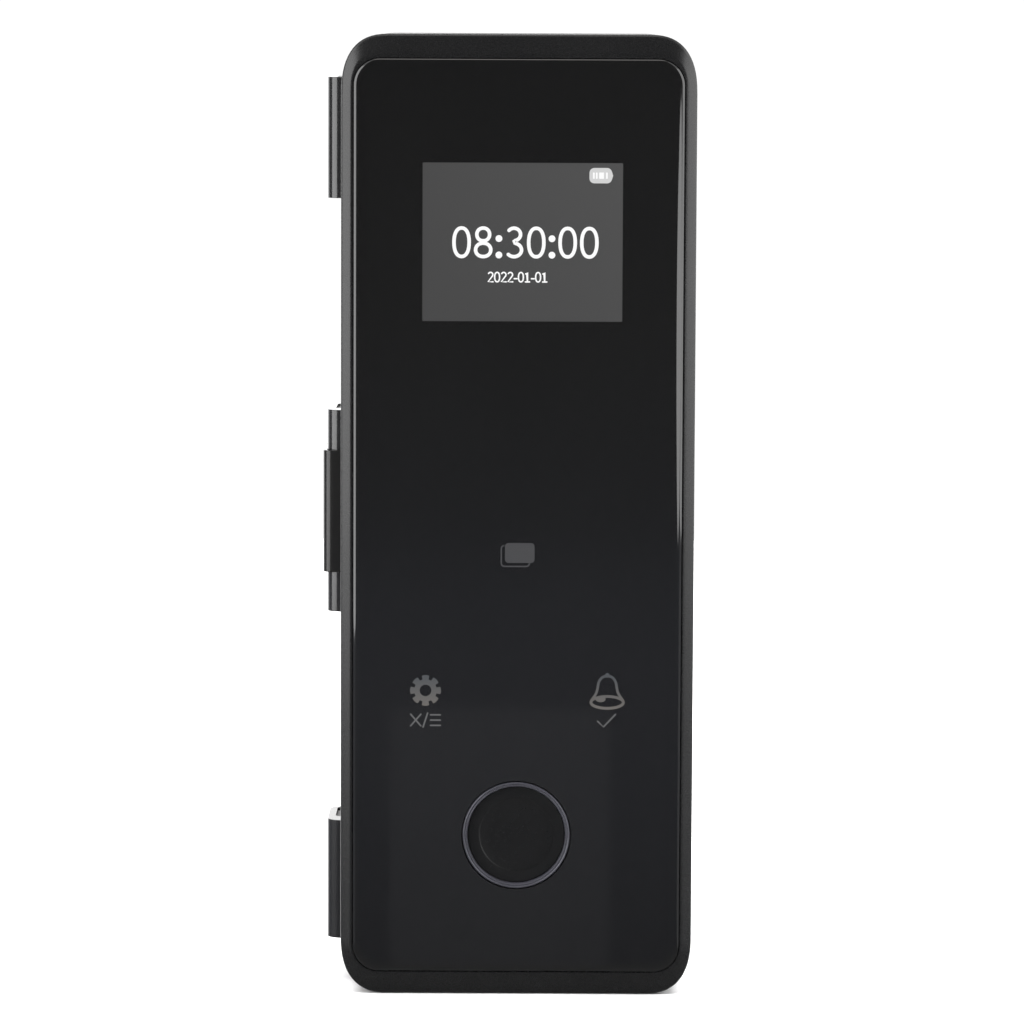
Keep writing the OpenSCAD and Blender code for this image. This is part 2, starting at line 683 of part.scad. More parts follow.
module knob_shaft() color([0.7, 0.71, 0.73]) difference() {
    rod(shaft_r, rear_0 + 0.4, rear_y + knob_out - 4, 0, gear_z);
    block([shaft_r - 0.6, rear_y + 1.5, gear_z - shaft_r], [2 * shaft_r, rear_y + knob_out, gear_z + shaft_r]);
    difference() {
        rod(shaft_r + 1, base_in + 3.2, base_in + 4.1, 0, gear_z);
        rod(shaft_r - 0.6, base_in, base_in + 5, 0, gear_z);
    }
}

module shaft_bushes() color([0.75, 0.6, 0.35]) for (y = [[rear_0 + 0.2, base_in + 2.4],
    [rear_in - 0.8, rear_y]]) difference() {
        rod(bush_r, y[0], y[1], 0, gear_z);
        rod(shaft_r + fit, y[0] - cut, y[1] + cut, 0, gear_z);
    }

module shaft_clip() color([0.3, 0.3, 0.32]) difference() {
    rod(5, base_in + 3.3, base_in + 4, 0, gear_z);
    rod(shaft_r - 0.5, base_in, base_in + 6, 0, gear_z);
    block([-1.6, base_in, gear_z - 8], [1.6, base_in + 6, gear_z]);
}

module knob() color([0.1, 0.1, 0.11]) translate([0, 0, gear_z]) {
    y0 = rear_y + 0.4;
    difference() {
        union() {
            rod(knob_r, y0, y0 + 3);
            slab(y0 + 2.9, rear_y + knob_out) rounded(8, 2 * knob_r - 2, 3.9);
            rod(6, y0 + 2.9, rear_y + knob_out - 3);
        }
        difference() {
            rod(shaft_r + 0.02, y0 - cut, rear_y + knob_out - 3.9);
            block([shaft_r - 0.58, y0 + 1.2, -2 * shaft_r], [2 * shaft_r, rear_y + knob_out, 2 * shaft_r]);
        }
        translate([0, y0 + 7, 0]) rotate([0, 90, 0]) cylinder(r = 1.25, h = 10);
    }
}

module knob_screw() color([0.3, 0.3, 0.32]) translate([shaft_r - 0.5, rear_y + 7.4, gear_z])
    rotate([0, 90, 0]) difference() {
        cylinder(r = 1.2, h = 3);
        translate([0, 0, 2]) cylinder(r = 0.6, h = 2, $fn = 6);
    }

module gear_motor() color([0.6, 0.61, 0.63]) difference() {
    union() {
        block([-gearbox / 2, gearbox_y, pinion_z - gearbox / 2],
            [gearbox / 2, gearbox_y + gearbox_d, pinion_z + gearbox / 2]);
        translate([gearbox / 2 - 0.5, gearbox_y + gearbox_d / 2, pinion_z]) rotate([0, 90, 0])
            cylinder(r = motor_r - 0.5, h = motor_l);
        translate([gearbox / 2 + motor_l - 1, gearbox_y + gearbox_d / 2, pinion_z])
            rotate([0, 90, 0]) cylinder(r = 1.5, h = 2);
    }
    rod(1.5 + fit, gearbox_y - cut, gearbox_y + 4, 0, pinion_z);
}

module motor_bracket() color([0.65, 0.66, 0.68]) difference() {
    block([-12.4, base_in, pinion_z - gearbox / 2], [12.4, bracket_y + 1, pinion_z + 7.4]);
    block([-11.4, base_in + 1, pinion_z - gearbox], [11.4, bracket_y, pinion_z + gearbox]);
    rod(5.8, bracket_y - cut, bracket_y + 2, 0, pinion_z);
    block([-8, base_in - cut, gear_z - 6], [8, base_in + 2, gear_z + 6]);
}

module motor_pinion() color([0.8, 0.66, 0.36]) {
    slab(bolt_y - gear_w / 2, bolt_y + gear_w / 2) translate([0, pinion_z])
        gear_outline(pinion_teeth, 0.5);
    rod(1.5, bolt_y - gear_w / 2 - 1, gearbox_y + 3.8, 0, pinion_z);
}

module control_board() color([0.05, 0.25, 0.15]) {
    difference() {
        block([-main_w / 2, control_y, control_z[0]], [main_w / 2, control_y + board_t, control_z[1]]);
        for (x = [-1, 1], z = [control_z[0] + 4, control_z[1] - 4]) rod(1.2, rear_0, rear_y, x * 20, z);
    }
    block([-15, control_y + board_t, -58], [-7, control_y + board_t + 1, -50]);
    block([12, control_y + board_t, -60], [20, control_y + board_t + 6, -50]);
    for (x = [-14, 0, 14]) block([x - 3, control_y + board_t, -86], [x + 3, control_y + board_t + 4, -80]);
    for (x = [-1, 1]) rod(3.2, control_y + board_t, control_y + board_t + 6, x * 14, -72);
}

module rear_board_standoffs() color([0.75, 0.6, 0.3])
    for (x = [-1, 1], z = [control_z[0] + 4, control_z[1] - 4]) difference() {
        translate([x * 20, control_y, z]) rotate([90, 0, 0])
            cylinder(r = 2.6, h = control_y - base_in, $fn = 6);
        rod(1, control_y - 6, control_y + cut, x * 20, z);
    }

module exit_button() color([0.7, 0.71, 0.73]) translate([0, 0, button_z]) difference() {
    union() {
        rod(button_r, rear_in - 0.3, rear_y + 1);
        rod(button_r + 1.4, rear_in - 1.2, rear_in - 0.2);
        rod(1.7, switch_y + button_travel + gap, rear_in - 0.5);
    }
    translate([0, rear_y + 19.6, 0]) sphere(19, $fn = 96);
}

module exit_switch() color([0.1, 0.1, 0.1]) {
    block([-3, control_y + board_t, button_z - 3], [3, switch_y - 0.4, button_z + 3]);
    rod(1.7, switch_y - 0.5, switch_y, 0, button_z);
}

front_housing();
glass_panel();
glass_tape();
display_module();
light_guide();
touch_key_board();
fingerprint_bezel();
fingerprint_sensor();
fingerprint_board();
card_antenna();
main_board();
buzzer();
usb_socket();
front_board_standoffs();
front_seal();
front_back_plate();
front_plate_screws();
front_pad();
top_bracket();
middle_bracket();
bottom_bracket();
cable_cover();
ribbon_cable();
edge_pads();
front_bracket_screws();
rear_bracket_screws();
rear_pad();
rear_base_plate();
rear_seal();
rear_housing();
rear_plate_screws();
battery_cover();
battery_tray();
batteries();
battery_contacts();
bolt_case();
bolt_faceplate();
faceplate_screws();
deadbolt();
bolt_switches();
drive_gear();
knob_shaft();
shaft_bushes();
shaft_clip();
knob();
knob_screw();
gear_motor();
motor_bracket();
motor_pinion();
control_board();
rear_board_standoffs();
exit_button();
exit_switch();
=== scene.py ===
import json
import math

import bmesh
import bpy
from mathutils import Matrix, Vector

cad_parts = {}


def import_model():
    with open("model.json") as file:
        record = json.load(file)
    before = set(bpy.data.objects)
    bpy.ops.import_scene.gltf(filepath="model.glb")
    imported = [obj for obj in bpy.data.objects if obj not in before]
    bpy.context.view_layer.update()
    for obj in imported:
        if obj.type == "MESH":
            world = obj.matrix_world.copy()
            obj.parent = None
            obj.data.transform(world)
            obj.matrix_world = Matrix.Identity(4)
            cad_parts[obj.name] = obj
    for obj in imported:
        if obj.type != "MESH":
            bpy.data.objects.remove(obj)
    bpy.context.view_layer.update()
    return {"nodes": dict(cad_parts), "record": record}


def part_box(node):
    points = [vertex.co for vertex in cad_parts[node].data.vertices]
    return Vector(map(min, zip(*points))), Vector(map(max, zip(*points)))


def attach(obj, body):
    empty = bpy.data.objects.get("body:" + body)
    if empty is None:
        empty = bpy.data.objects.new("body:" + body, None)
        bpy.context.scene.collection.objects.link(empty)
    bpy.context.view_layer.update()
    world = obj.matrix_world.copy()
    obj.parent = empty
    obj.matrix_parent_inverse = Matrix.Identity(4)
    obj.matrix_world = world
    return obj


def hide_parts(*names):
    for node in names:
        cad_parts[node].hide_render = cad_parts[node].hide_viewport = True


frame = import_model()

# A clip-on lock for a frameless glass door: the CAD frame keeps its places and motion, and the
# pieces made here stand for the shells, glass, marks and trims that are seen.
# Sizes are in millimetres until a mesh is made; the frame is in metres.

MM = 0.001
NODES = frame["nodes"]


def node_box(name):
    """Lowest and highest corner of a CAD node, in millimetres."""
    low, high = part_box(name)
    return low / MM, high / MM


def node_centre(name):
    """Centre of a CAD node's box, as x, y and z in millimetres."""
    low, high = node_box(name)
    return [(a + b) / 2 for a, b in zip(low, high)]


# ---- driving places, from the frame ----

SHELL_LOW, SHELL_HIGH = node_box("front_housing")
REAR_LOW, REAR_HIGH = node_box("rear_housing")
GLASS_LOW, GLASS_HIGH = node_box("glass_panel")
SENSOR_LOW, SENSOR_HIGH = node_box("fingerprint_sensor")
BODY_W = SHELL_HIGH.x - SHELL_LOW.x
BODY_H = SHELL_HIGH.z - SHELL_LOW.z
FRONT_BACK = SHELL_HIGH.y
RIM_Y = SHELL_LOW.y
GLASS_Y = GLASS_LOW.y
GLASS_BACK = GLASS_HIGH.y
FINGER_R = (SENSOR_HIGH.x - SENSOR_LOW.x) / 2 + 1
FINGER_Z = (SENSOR_LOW.z + SENSOR_HIGH.z) / 2
REAR_OPEN = REAR_LOW.y
REAR_FACE = REAR_HIGH.y
SLOT = node_box("rear_pad")[0].y
BRACKET_T = REAR_OPEN - SLOT
WEB_X = node_box("top_bracket")[0].x
FLANGE_X = node_box("top_bracket")[1].x
SHOULDER_Y = node_box("top_bracket")[0].y
COVER_T = WEB_X - node_box("cable_cover")[0].x

# ---- sizes that only the looks use ----

CORNER_A = 9.4          # the housings' corners: width, height and squareness
CORNER_B = 11.8
CORNER_POWER = 2.5
CORNER_STEPS = 16
INNER_CORNER = 6.3      # the housings' corners inside
EDGE_R = 3.0            # rear unit's rounded edge
BEND_R = 3.0            # brackets' bends, outside
COVER_R = 2.2           # cable cover's bends, outside
BEND_STEPS = 24
GROOVE_D = 0.6          # groove for the ribbon in the middle bracket
WALL = 2.2
GLASS_CORNER = 5.2
SEAT_GAP = 0.06         # between the glass and its seat
SURFACE_GAP = 0.015     # marks lie this far in front of the glass
MARK_T = 0.01
CELL_R = 7.1
CELL_PITCH = 14.7
SHARP_ANGLE = 32        # edges sharper than this, in degrees, stay sharp


# ---- mesh helpers ----

def rounded(half_w, half_h, a, b, power=2.0, steps=CORNER_STEPS):
    """Outline of a rectangle with superellipse corners, as (x, z) points, anticlockwise."""
    points = []
    for turn in range(4):
        for i in range(steps + 1):
            t = math.pi / 2 * i / steps
            c = max(math.cos(t), 0.0) ** (2 / power)
            s = max(math.sin(t), 0.0) ** (2 / power)
            if turn % 2:
                c, s = s, c
            sx = 1 if turn in (0, 3) else -1
            sz = 1 if turn in (0, 1) else -1
            points.append((sx * (half_w - a + a * c), sz * (half_h - b + b * s)))
    return points


def shell_loop(y, inset_x=0.0, inset_z=None, corner=None):
    """A loop of a housing's outline, set in from its side, at depth y."""
    inset_z = inset_x if inset_z is None else inset_z
    if corner is None:
        a, b, power = CORNER_A - 1.3 * inset_x, CORNER_B - 1.25 * inset_z, CORNER_POWER
    else:
        a, b, power = corner, corner, 2.0
    outline = rounded(BODY_W / 2 - inset_x, BODY_H / 2 - inset_z, a, b, power)
    return [(x, y, z) for x, z in outline]


def new_object(name, bm, materials):
    """Turns a bmesh in millimetres into a shaded object in metres."""
    bmesh.ops.remove_doubles(bm, verts=bm.verts, dist=1e-5)
    bmesh.ops.dissolve_degenerate(bm, edges=bm.edges, dist=1e-5)
    bmesh.ops.recalc_face_normals(bm, faces=bm.faces)
    bm.transform(Matrix.Scale(MM, 4))
    mesh = bpy.data.meshes.new(name)
    bm.to_mesh(mesh)
    bm.free()
    for material in materials:
        mesh.materials.append(material)
    mesh.shade_smooth()
    mesh.set_sharp_from_angle(angle=math.radians(SHARP_ANGLE))
    obj = bpy.data.objects.new(name, mesh)
    bpy.context.scene.collection.objects.link(obj)
    return obj


def loft(bm, loops, ring=False, caps=True, index=0):
    """Skins a run of loops of equal length; ring joins the last to the first."""
    rows = [[bm.verts.new(p) for p in loop] for loop in loops]
    pairs = list(zip(rows, rows[1:]))
    if ring:
        pairs.append((rows[-1], rows[0]))
    for low, high in pairs:
        n = len(low)
        for i in range(n):
            face = bm.faces.new((low[i], low[(i + 1) % n], high[(i + 1) % n], high[i]))
            face.material_index = index
    if caps and not ring:
        bm.faces.new(rows[0]).material_index = index
        bm.faces.new(rows[-1]).material_index = index


def extrude(bm, section, z0, z1):
    """Carries a section of (x, y) points from z0 to z1."""
    loft(bm, [[(x, y, z) for x, y in section] for z in (z0, z1)])


def circle(radius, steps, x=0.0, y=0.0):
    """Points of a circle."""
    turns = [2 * math.pi * i / steps for i in range(steps)]
    return [(x + radius * math.cos(t), y + radius * math.sin(t)) for t in turns]


def lathe(bm, profile, x=0.0, z=0.0, ring=False, steps=96):
    """Turns a profile of (radius, y) points about a Y axis."""
    loft(bm, [[(u, y, v) for u, v in circle(r, steps, x, z)] for r, y in profile], ring)


def arc(cx, cy, r, start, end, steps):
    """Points of an arc, angles in degrees."""
    out = []
    for i in range(steps + 1):
        t = math.radians(start + (end - start) * i / steps)
        out.append((cx + r * math.cos(t), cy + r * math.sin(t)))
    return out


def box(bm, low, high):
    """A plain box, for cutters and small parts of a piece."""
    x0, y0, z0 = low
    x1, y1, z1 = high
    extrude(bm, [(x0, y0), (x1, y0), (x1, y1), (x0, y1)], z0, z1)


def apply_modifiers(obj):
    """Bakes the object's modifiers into its mesh."""
    graph = bpy.context.evaluated_depsgraph_get()
    mesh = bpy.data.meshes.new_from_object(obj.evaluated_get(graph))
    obj.modifiers.clear()
    obj.data = mesh


def carve(obj, build, *sizes, operation="DIFFERENCE"):
    """Cuts obj with the solid that build makes from the sizes, or keeps what both share."""
    bm = bmesh.new()
    build(bm, *sizes)
    cutter = new_object("cutter", bm, [])
    modifier = obj.modifiers.new("cut", "BOOLEAN")
    modifier.operation = operation
    modifier.solver = "EXACT"
    modifier.object = cutter
    bpy.context.view_layer.update()
    apply_modifiers(obj)
    bpy.data.objects.remove(cutter)
    obj.data.shade_smooth()
    obj.data.set_sharp_from_angle(angle=math.radians(SHARP_ANGLE))


def bevel(obj, width, angle=40):
    """Rounds the sharp edges of a cut piece, so that they catch the light."""
    modifier = obj.modifiers.new("edge", "BEVEL")
    modifier.width = width * MM
    modifier.segments = 2
    modifier.limit_method = "ANGLE"
    modifier.angle_limit = math.radians(angle)
    modifier.harden_normals = True
    apply_modifiers(obj)


def place(obj, body, slot, *replaced):
    """Rides a finished piece on its body and hides the nodes that it stands for; slot is not used."""
    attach(obj, body)
    if replaced:
        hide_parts(*replaced)


# ---- materials ----

def material(name, color, roughness, metallic=0.0, coat=0.0, ior=1.5, sheen=0.0):
    """A new material with its shader set up."""
    mat = bpy.data.materials.new(name)
    mat.use_nodes = True
    shader = mat.node_tree.nodes["Principled BSDF"]
    shader.inputs["Base Color"].default_value = (*color, 1)
    shader.inputs["Roughness"].default_value = roughness
    shader.inputs["Metallic"].default_value = metallic
    shader.inputs["IOR"].default_value = ior
    shader.inputs["Coat Weight"].default_value = coat
    shader.inputs["Coat Roughness"].default_value = 0.04
    shader.inputs["Sheen Weight"].default_value = sheen
    return mat


def add(mat, kind, **inputs):
    """Adds a node and sets the inputs that are named, with _ for spaces."""
    node = mat.node_tree.nodes.new(kind)
    for key, value in inputs.items():
        node.inputs[key.replace("_", " ")].default_value = value
    return node


def link(mat, source, output, target, entry):
    """Joins two nodes."""
    mat.node_tree.links.new(source.outputs[output], target.inputs[entry])


def texture(mat, kind, stretch=(1, 1, 1), **inputs):
    """A texture in object space, stretched along the axes."""
    coords = mat.node_tree.nodes.new("ShaderNodeTexCoord")
    mapping = mat.node_tree.nodes.new("ShaderNodeMapping")
    mapping.inputs["Scale"].default_value = stretch
    node = add(mat, kind, **inputs)
    link(mat, coords, "Object", mapping, "Vector")
    link(mat, mapping, "Vector", node, "Vector")
    return node


def ramp(mat, source, output, stops, target, entry):
    """Sends a texture through a colour ramp of (position, colour) stops."""
    node = mat.node_tree.nodes.new("ShaderNodeValToRGB")
    elements = node.color_ramp.elements
    while len(elements) < len(stops):
        elements.new(0.5)
    for element, (position, color) in zip(elements, stops):
        element.position = position
        element.color = (*color, 1)
    link(mat, source, output, node, "Fac")
    link(mat, node, "Color", target, entry)


def grey(value):
    """A colour without a tint."""
    return (value, value, value)


def vary(mat, node, output, colors, roughs):
    """Varies colour and roughness with a texture."""
    shader = mat.node_tree.nodes["Principled BSDF"]
    if colors:
        ramp(mat, node, output, [(0.3, colors[0]), (0.7, colors[1])], shader, "Base Color")
    if roughs:
        ramp(mat, node, output, [(0.3, grey(roughs[0])), (0.7, grey(roughs[1]))], shader, "Roughness")


def bump(mat, node, output, strength, distance):
    """Adds relief from a texture, distance in millimetres."""
    relief = add(mat, "ShaderNodeBump", Strength=strength, Distance=distance * MM)
    link(mat, node, output, relief, "Height")
    link(mat, relief, "Normal", mat.node_tree.nodes["Principled BSDF"], "Normal")


def finish(name, color, roughness, spread=0.08, tint=0.2, scale=900, relief=0.0, depth=0.02,
           stretch=(1, 1, 1), **shader):
    """A surface whose colour, gloss and relief all vary with a fine grain."""
    mat = material(name, color, roughness, **shader)
    broad = texture(mat, "ShaderNodeTexNoise", Scale=60.0, Detail=4.0, Roughness=0.6)
    light = [min(1.0, c * (1 + tint)) for c in color]
    dark = [c * (1 - tint) for c in color]
    vary(mat, broad, "Fac", (dark, light), None)
    grain = texture(mat, "ShaderNodeTexNoise", stretch, Scale=float(scale), Detail=3.0, Roughness=0.55)
    vary(mat, grain, "Fac", None, (max(0.02, roughness - spread), roughness + spread))
    if relief:
        bump(mat, grain, "Fac", relief, depth)
    return mat


def anodised_black():
    """Satin black anodising on the front housing."""
    return finish("anodised_black", (0.0062, 0.0062, 0.0064), 0.27, spread=0.02, tint=0.12,
                  scale=5200, relief=0.04, depth=0.01, ior=1.4)


def moulded_black():
    """Dull moulded plastic of the rear unit."""
    return finish("moulded_black", (0.016, 0.016, 0.017), 0.5, spread=0.05, tint=0.12,
                  scale=3000, relief=0.2, depth=0.02)


def cover_glass():
    """Black print behind polished glass, with faint wipe marks."""
    mat = material("cover_glass", (0.0043, 0.0043, 0.0043), 0.02, ior=1.52)
    smear = texture(mat, "ShaderNodeTexNoise", (1, 1, 0.35), Scale=24.0, Detail=5.0, Distortion=0.8)
    vary(mat, smear, "Fac", ((0.004, 0.004, 0.0041), (0.0047, 0.0047, 0.0048)), (0.015, 0.04))
    return mat


def emitter(name, low, high, direction=(0, 0, 1), span=0.04, centre=0.0):
    """A lit mark under the glass: its glow goes from low to high colour over span metres."""
    mat = material(name, grey(0.004), 0.08, coat=0.6)
    shader = mat.node_tree.nodes["Principled BSDF"]
    coords = mat.node_tree.nodes.new("ShaderNodeTexCoord")
    dot = mat.node_tree.nodes.new("ShaderNodeVectorMath")
    dot.operation = "DOT_PRODUCT"
    dot.inputs[1].default_value = Vector(direction).normalized() / span
    link(mat, coords, "Object", dot, 0)
    shift = add(mat, "ShaderNodeMapRange")
    shift.inputs["From Min"].default_value = centre / span - 0.5
    shift.inputs["From Max"].default_value = centre / span + 0.5
    link(mat, dot, "Value", shift, "Value")
    ramp(mat, shift, "Result", [(0.0, low), (1.0, high)], shader, "Emission Color")
    shader.inputs["Emission Strength"].default_value = 1.0
    return mat


def brushed(name, color, roughness, stretch=(1, 1, 30), scale=300):
    """Brushed or turned metal: fine lines across the stretched axis."""
    return finish(name, color, roughness, spread=0.12, tint=0.1, scale=scale, relief=0.15, depth=0.01,
                  stretch=stretch, metallic=1.0)


def cover_black():
    """The cable cover's dull black paint."""
    return finish("cover_black", (0.0115, 0.0112, 0.011), 0.16, spread=0.03, tint=0.1, scale=1800,
                  relief=0.04, depth=0.01, ior=1.37)


def powder_black():
    """Semi-gloss powder coat with a soft orange-peel relief."""
    return finish("powder_black", (0.0125, 0.0125, 0.013), 0.14, spread=0.03, tint=0.1, scale=1800,
                  relief=0.04, depth=0.01)


def foam_rubber():
    """Closed-cell foam of the pads and seals."""
    return finish("foam_rubber", grey(0.014), 0.85, spread=0.08, tint=0.25, scale=2200,
                  relief=0.5, depth=0.08)


def circuit_board():
    """Green solder mask with the lighter traces under it."""
    mat = material("circuit_board", (0.01, 0.09, 0.04), 0.35)
    cells = texture(mat, "ShaderNodeTexVoronoi", Scale=420.0)
    cells.feature = "F1"
    cells.distance = "CHEBYCHEV"
    vary(mat, cells, "Distance", ((0.02, 0.16, 0.07), (0.006, 0.07, 0.03)), (0.25, 0.45))
    bump(mat, cells, "Distance", 0.2, 0.03)
    return mat


def ribbon_film():
    """Flat cable: pale film over a row of conductors, half a millimetre apart."""
    mat = material("ribbon_film", (0.6, 0.6, 0.57), 0.4)
    wave = texture(mat, "ShaderNodeTexWave", Scale=1 / (6.283 * 0.0005))
    wave.bands_direction = "Z"
    vary(mat, wave, "Fac", ((0.42, 0.42, 0.4), (0.66, 0.66, 0.63)), (0.35, 0.5))
    bump(mat, wave, "Fac", 0.4, 0.05)
    return mat


def cell_wrap():
    """Shrink film of a plain battery, dark with a coppery upper band."""
    mat = material("cell_wrap", (0.02, 0.02, 0.022), 0.25, coat=0.5)
    coords = mat.node_tree.nodes.new("ShaderNodeTexCoord")
    split = mat.node_tree.nodes.new("ShaderNodeSeparateXYZ")
    noise = texture(mat, "ShaderNodeTexNoise", Scale=700.0, Detail=2.0)
    link(mat, coords, "Object", split, "Vector")
    shader = mat.node_tree.nodes["Principled BSDF"]
    bands = [(0.069, (0.015, 0.03, 0.05)), (0.0692, (0.42, 0.2, 0.08))]
    ramp(mat, split, "Z", bands, shader, "Base Color")
    ramp(mat, noise, "Fac", [(0.3, grey(0.2)), (0.7, grey(0.32))], shader, "Roughness")
    return mat


# By the record's slot names, with a few more for marks and for the cable cover
MATERIALS = {
    "housing_black": anodised_black(),
    "housing_rear_black": moulded_black(),
    "cover_glass": cover_glass(),
    "screen": emitter("screen_grey", (0.057, 0.057, 0.0572), (0.075, 0.075, 0.0752),
                      direction=(1, 0, 0.8), span=0.045, centre=0.04),
    "digits": emitter("screen_white", grey(0.95), grey(1.0)),
    "battery_mark": emitter("screen_pale", grey(0.58), grey(0.66)),
    "card_mark": emitter("card_grey", (0.058, 0.058, 0.06), (0.066, 0.066, 0.068)),
    "key_marks": emitter("key_grey", (0.15, 0.138, 0.125), (0.075, 0.08, 0.085),
                         span=0.006, centre=-0.0345),
    "label_marks": emitter("label_grey", grey(0.125), (0.14, 0.14, 0.138)),
    "light_guide_clear": finish("light_guide", (0.62, 0.64, 0.66), 0.3, scale=500, relief=0.1),
    "adhesive_tape": finish("tape", grey(0.03), 0.7, scale=1500, relief=0.2),
    "circuit_board": circuit_board(),
    "bezel_metal": finish("bezel_metal", (0.042, 0.042, 0.052), 0.34, scale=2400, relief=0.06,
                          depth=0.01, metallic=0.35),
    "sensor_black": finish("sensor_black", (0.0032, 0.0032, 0.0034), 0.3, spread=0.03, scale=3000,
                           relief=0.05, depth=0.01),
    "antenna_copper": brushed("antenna_copper", (0.62, 0.3, 0.16), 0.3),
    "buzzer_black": finish("buzzer_black", grey(0.02), 0.45, scale=1200, relief=0.3),
    "bright_steel": brushed("bright_steel", (0.62, 0.625, 0.64), 0.28, (1, 1, 14), 260),
    "zinc_steel": brushed("zinc_steel", (0.5, 0.51, 0.53), 0.38, (1, 14, 1), 180),
    "bracket_black": powder_black(),
    "cover_black": cover_black(),
    "black_screw": finish("black_screw", (0.03, 0.03, 0.032), 0.35, scale=1500, relief=0.2,
                          metallic=0.7),
    "brass": brushed("brass_turned", (0.72, 0.5, 0.2), 0.28, (1, 12, 1), 300),
    "black_rubber": foam_rubber(),
    "grey_silicone": finish("grey_silicone", grey(0.12), 0.6, scale=800, relief=0.1, sheen=0.2),
    "ribbon_white": ribbon_film(),
    "tray_black": finish("tray_black", (0.03, 0.03, 0.031), 0.48, scale=1300, relief=0.3),
    "cell_wrap": cell_wrap(),
    "contact_nickel": brushed("contact_nickel", (0.7, 0.68, 0.64), 0.2, (6, 1, 1), 400),
    "button_silver": brushed("button_silver", (0.6, 0.605, 0.62), 0.3, (1, 10, 1), 500),
    "switch_black": finish("switch_black", (0.02, 0.02, 0.021), 0.4, scale=1400, relief=0.2),
}


def dress_cad_nodes():
    """Gives every CAD node the material of its slot."""
    for part in frame["record"]["subparts"]:
        mesh = NODES[part["node"]].data
        mesh.materials.clear()
        mesh.materials.append(MATERIALS[part["material_slot"]])


# ---- front unit ----

# The front edge: how far in from the side and from the ends, and how far behind the rim
FRONT_EDGE = [
    (0.0, 0.0, 2.2), (0.03, 0.06, 1.75), (0.12, 0.25, 1.5), (0.26, 0.55, 1.34), (0.36, 0.8, 1.26),
    (0.93, 1.95, 0.79), (1.5, 3.1, 0.42), (1.66, 3.4, 0.31), (1.86, 3.75, 0.2), (2.05, 4.1, 0.13),
    (2.15, 4.3, 0.12),
]


def front_housing():
    """One closed skin: rounded outside, seat for the glass, window, and open back."""
    seat_x = (BODY_W - (GLASS_HIGH.x - GLASS_LOW.x)) / 2 - SEAT_GAP
    seat_z = (BODY_H - (GLASS_HIGH.z - GLASS_LOW.z)) / 2 - SEAT_GAP
    seat_corner = GLASS_CORNER + SEAT_GAP
    ledge = GLASS_BACK + 0.3
    ledge_t, ledge_in, window_corner = 1.5, 3, 2.2
    bm = bmesh.new()
    outside = [shell_loop(FRONT_BACK, 0.3), shell_loop(FRONT_BACK - 0.3)]
    outside += [shell_loop(RIM_Y + y, x, z) for x, z, y in FRONT_EDGE]
    outside.append(shell_loop(RIM_Y + 0.12, seat_x - 0.07, seat_z - 0.07, seat_corner + 0.07))
    inside = [
        shell_loop(RIM_Y + 0.22, seat_x, seat_z, seat_corner),
        shell_loop(ledge, seat_x, seat_z, seat_corner),
        shell_loop(ledge, seat_x + ledge_in, seat_z + ledge_in, window_corner),
        shell_loop(ledge + ledge_t, seat_x + ledge_in, seat_z + ledge_in, window_corner),
        shell_loop(ledge + ledge_t, WALL, WALL, INNER_CORNER),
        shell_loop(FRONT_BACK, WALL, WALL, INNER_CORNER),
    ]
    loft(bm, outside + inside, ring=True)
    obj = new_object("front_housing_shell", bm, [MATERIALS["housing_black"]])
    carve(obj, usb_mouth)
    place(obj, "frame", "housing_black", "front_housing")


def usb_mouth(cut):
    """The mouth of the emergency power socket, in the housing's lower end."""
    low, high = node_box("usb_socket")
    middle_y = (low.y + high.y) / 2
    outline = rounded((high.x - low.x) / 2 + 0.15, (high.y - low.y) / 2 + 0.15, 1.6, 1.6, steps=8)
    extrude(cut, [(x, middle_y + y) for x, y in outline], SHELL_LOW.z - 1, SHELL_LOW.z + 4)


# The border of the cover glass: how far in from its edge, and how far behind its face
GLASS_EDGE = [
    (0.0, 1.8), (0.0, 0.67), (0.04, 0.57), (0.12, 0.465), (0.25, 0.355), (0.42, 0.245), (0.62, 0.155),
    (0.85, 0.09), (1.15, 0.042), (1.5, 0.011), (1.85, 0.0), (2.0, 0.0),
]


def glass_panel():
    """Cover glass with a softly rounded border and a hole for the fingerprint bezel."""
    half_w = (GLASS_HIGH.x - GLASS_LOW.x) / 2
    half_h = (GLASS_HIGH.z - GLASS_LOW.z) / 2
    bm = bmesh.new()
    loops = []
    for inset, drop in GLASS_EDGE:
        corner = GLASS_CORNER - inset
        outline = rounded(half_w - inset, half_h - inset, corner, corner)
        loops.append([(x, GLASS_Y + drop, z) for x, z in outline])
    loft(bm, loops)
    obj = new_object("cover_glass_panel", bm, [MATERIALS["cover_glass"]])
    carve(obj, finger_hole)
    place(obj, "frame", "cover_glass", "glass_panel")


def finger_hole(cut):
    """The hole in the glass round the fingerprint bezel, with its edge broken."""
    r, chamfer = FINGER_R + 0.15, 0.15
    bore = [(r, GLASS_BACK + 1), (r, GLASS_Y + chamfer)]
    lathe(cut, bore + [(r + chamfer, GLASS_Y), (r + chamfer, GLASS_Y - 1)], z=FINGER_Z, steps=128)


# The ring: how far out from the bezel's radius, and how far behind the glass's face
RING = [
    (-0.95, 2.2), (-0.95, 0.4), (-0.86, 0.12), (-0.74, -0.04), (-0.66, -0.05), (-0.58, 0.02),
    (-0.42, 0.04), (-0.34, -0.04), (-0.26, -0.09), (-0.14, -0.06), (-0.04, 0.04), (0, 0.2),
    (0, 1.95), (1.6, 1.95), (1.6, 3.2), (-0.95, 3.2),
]
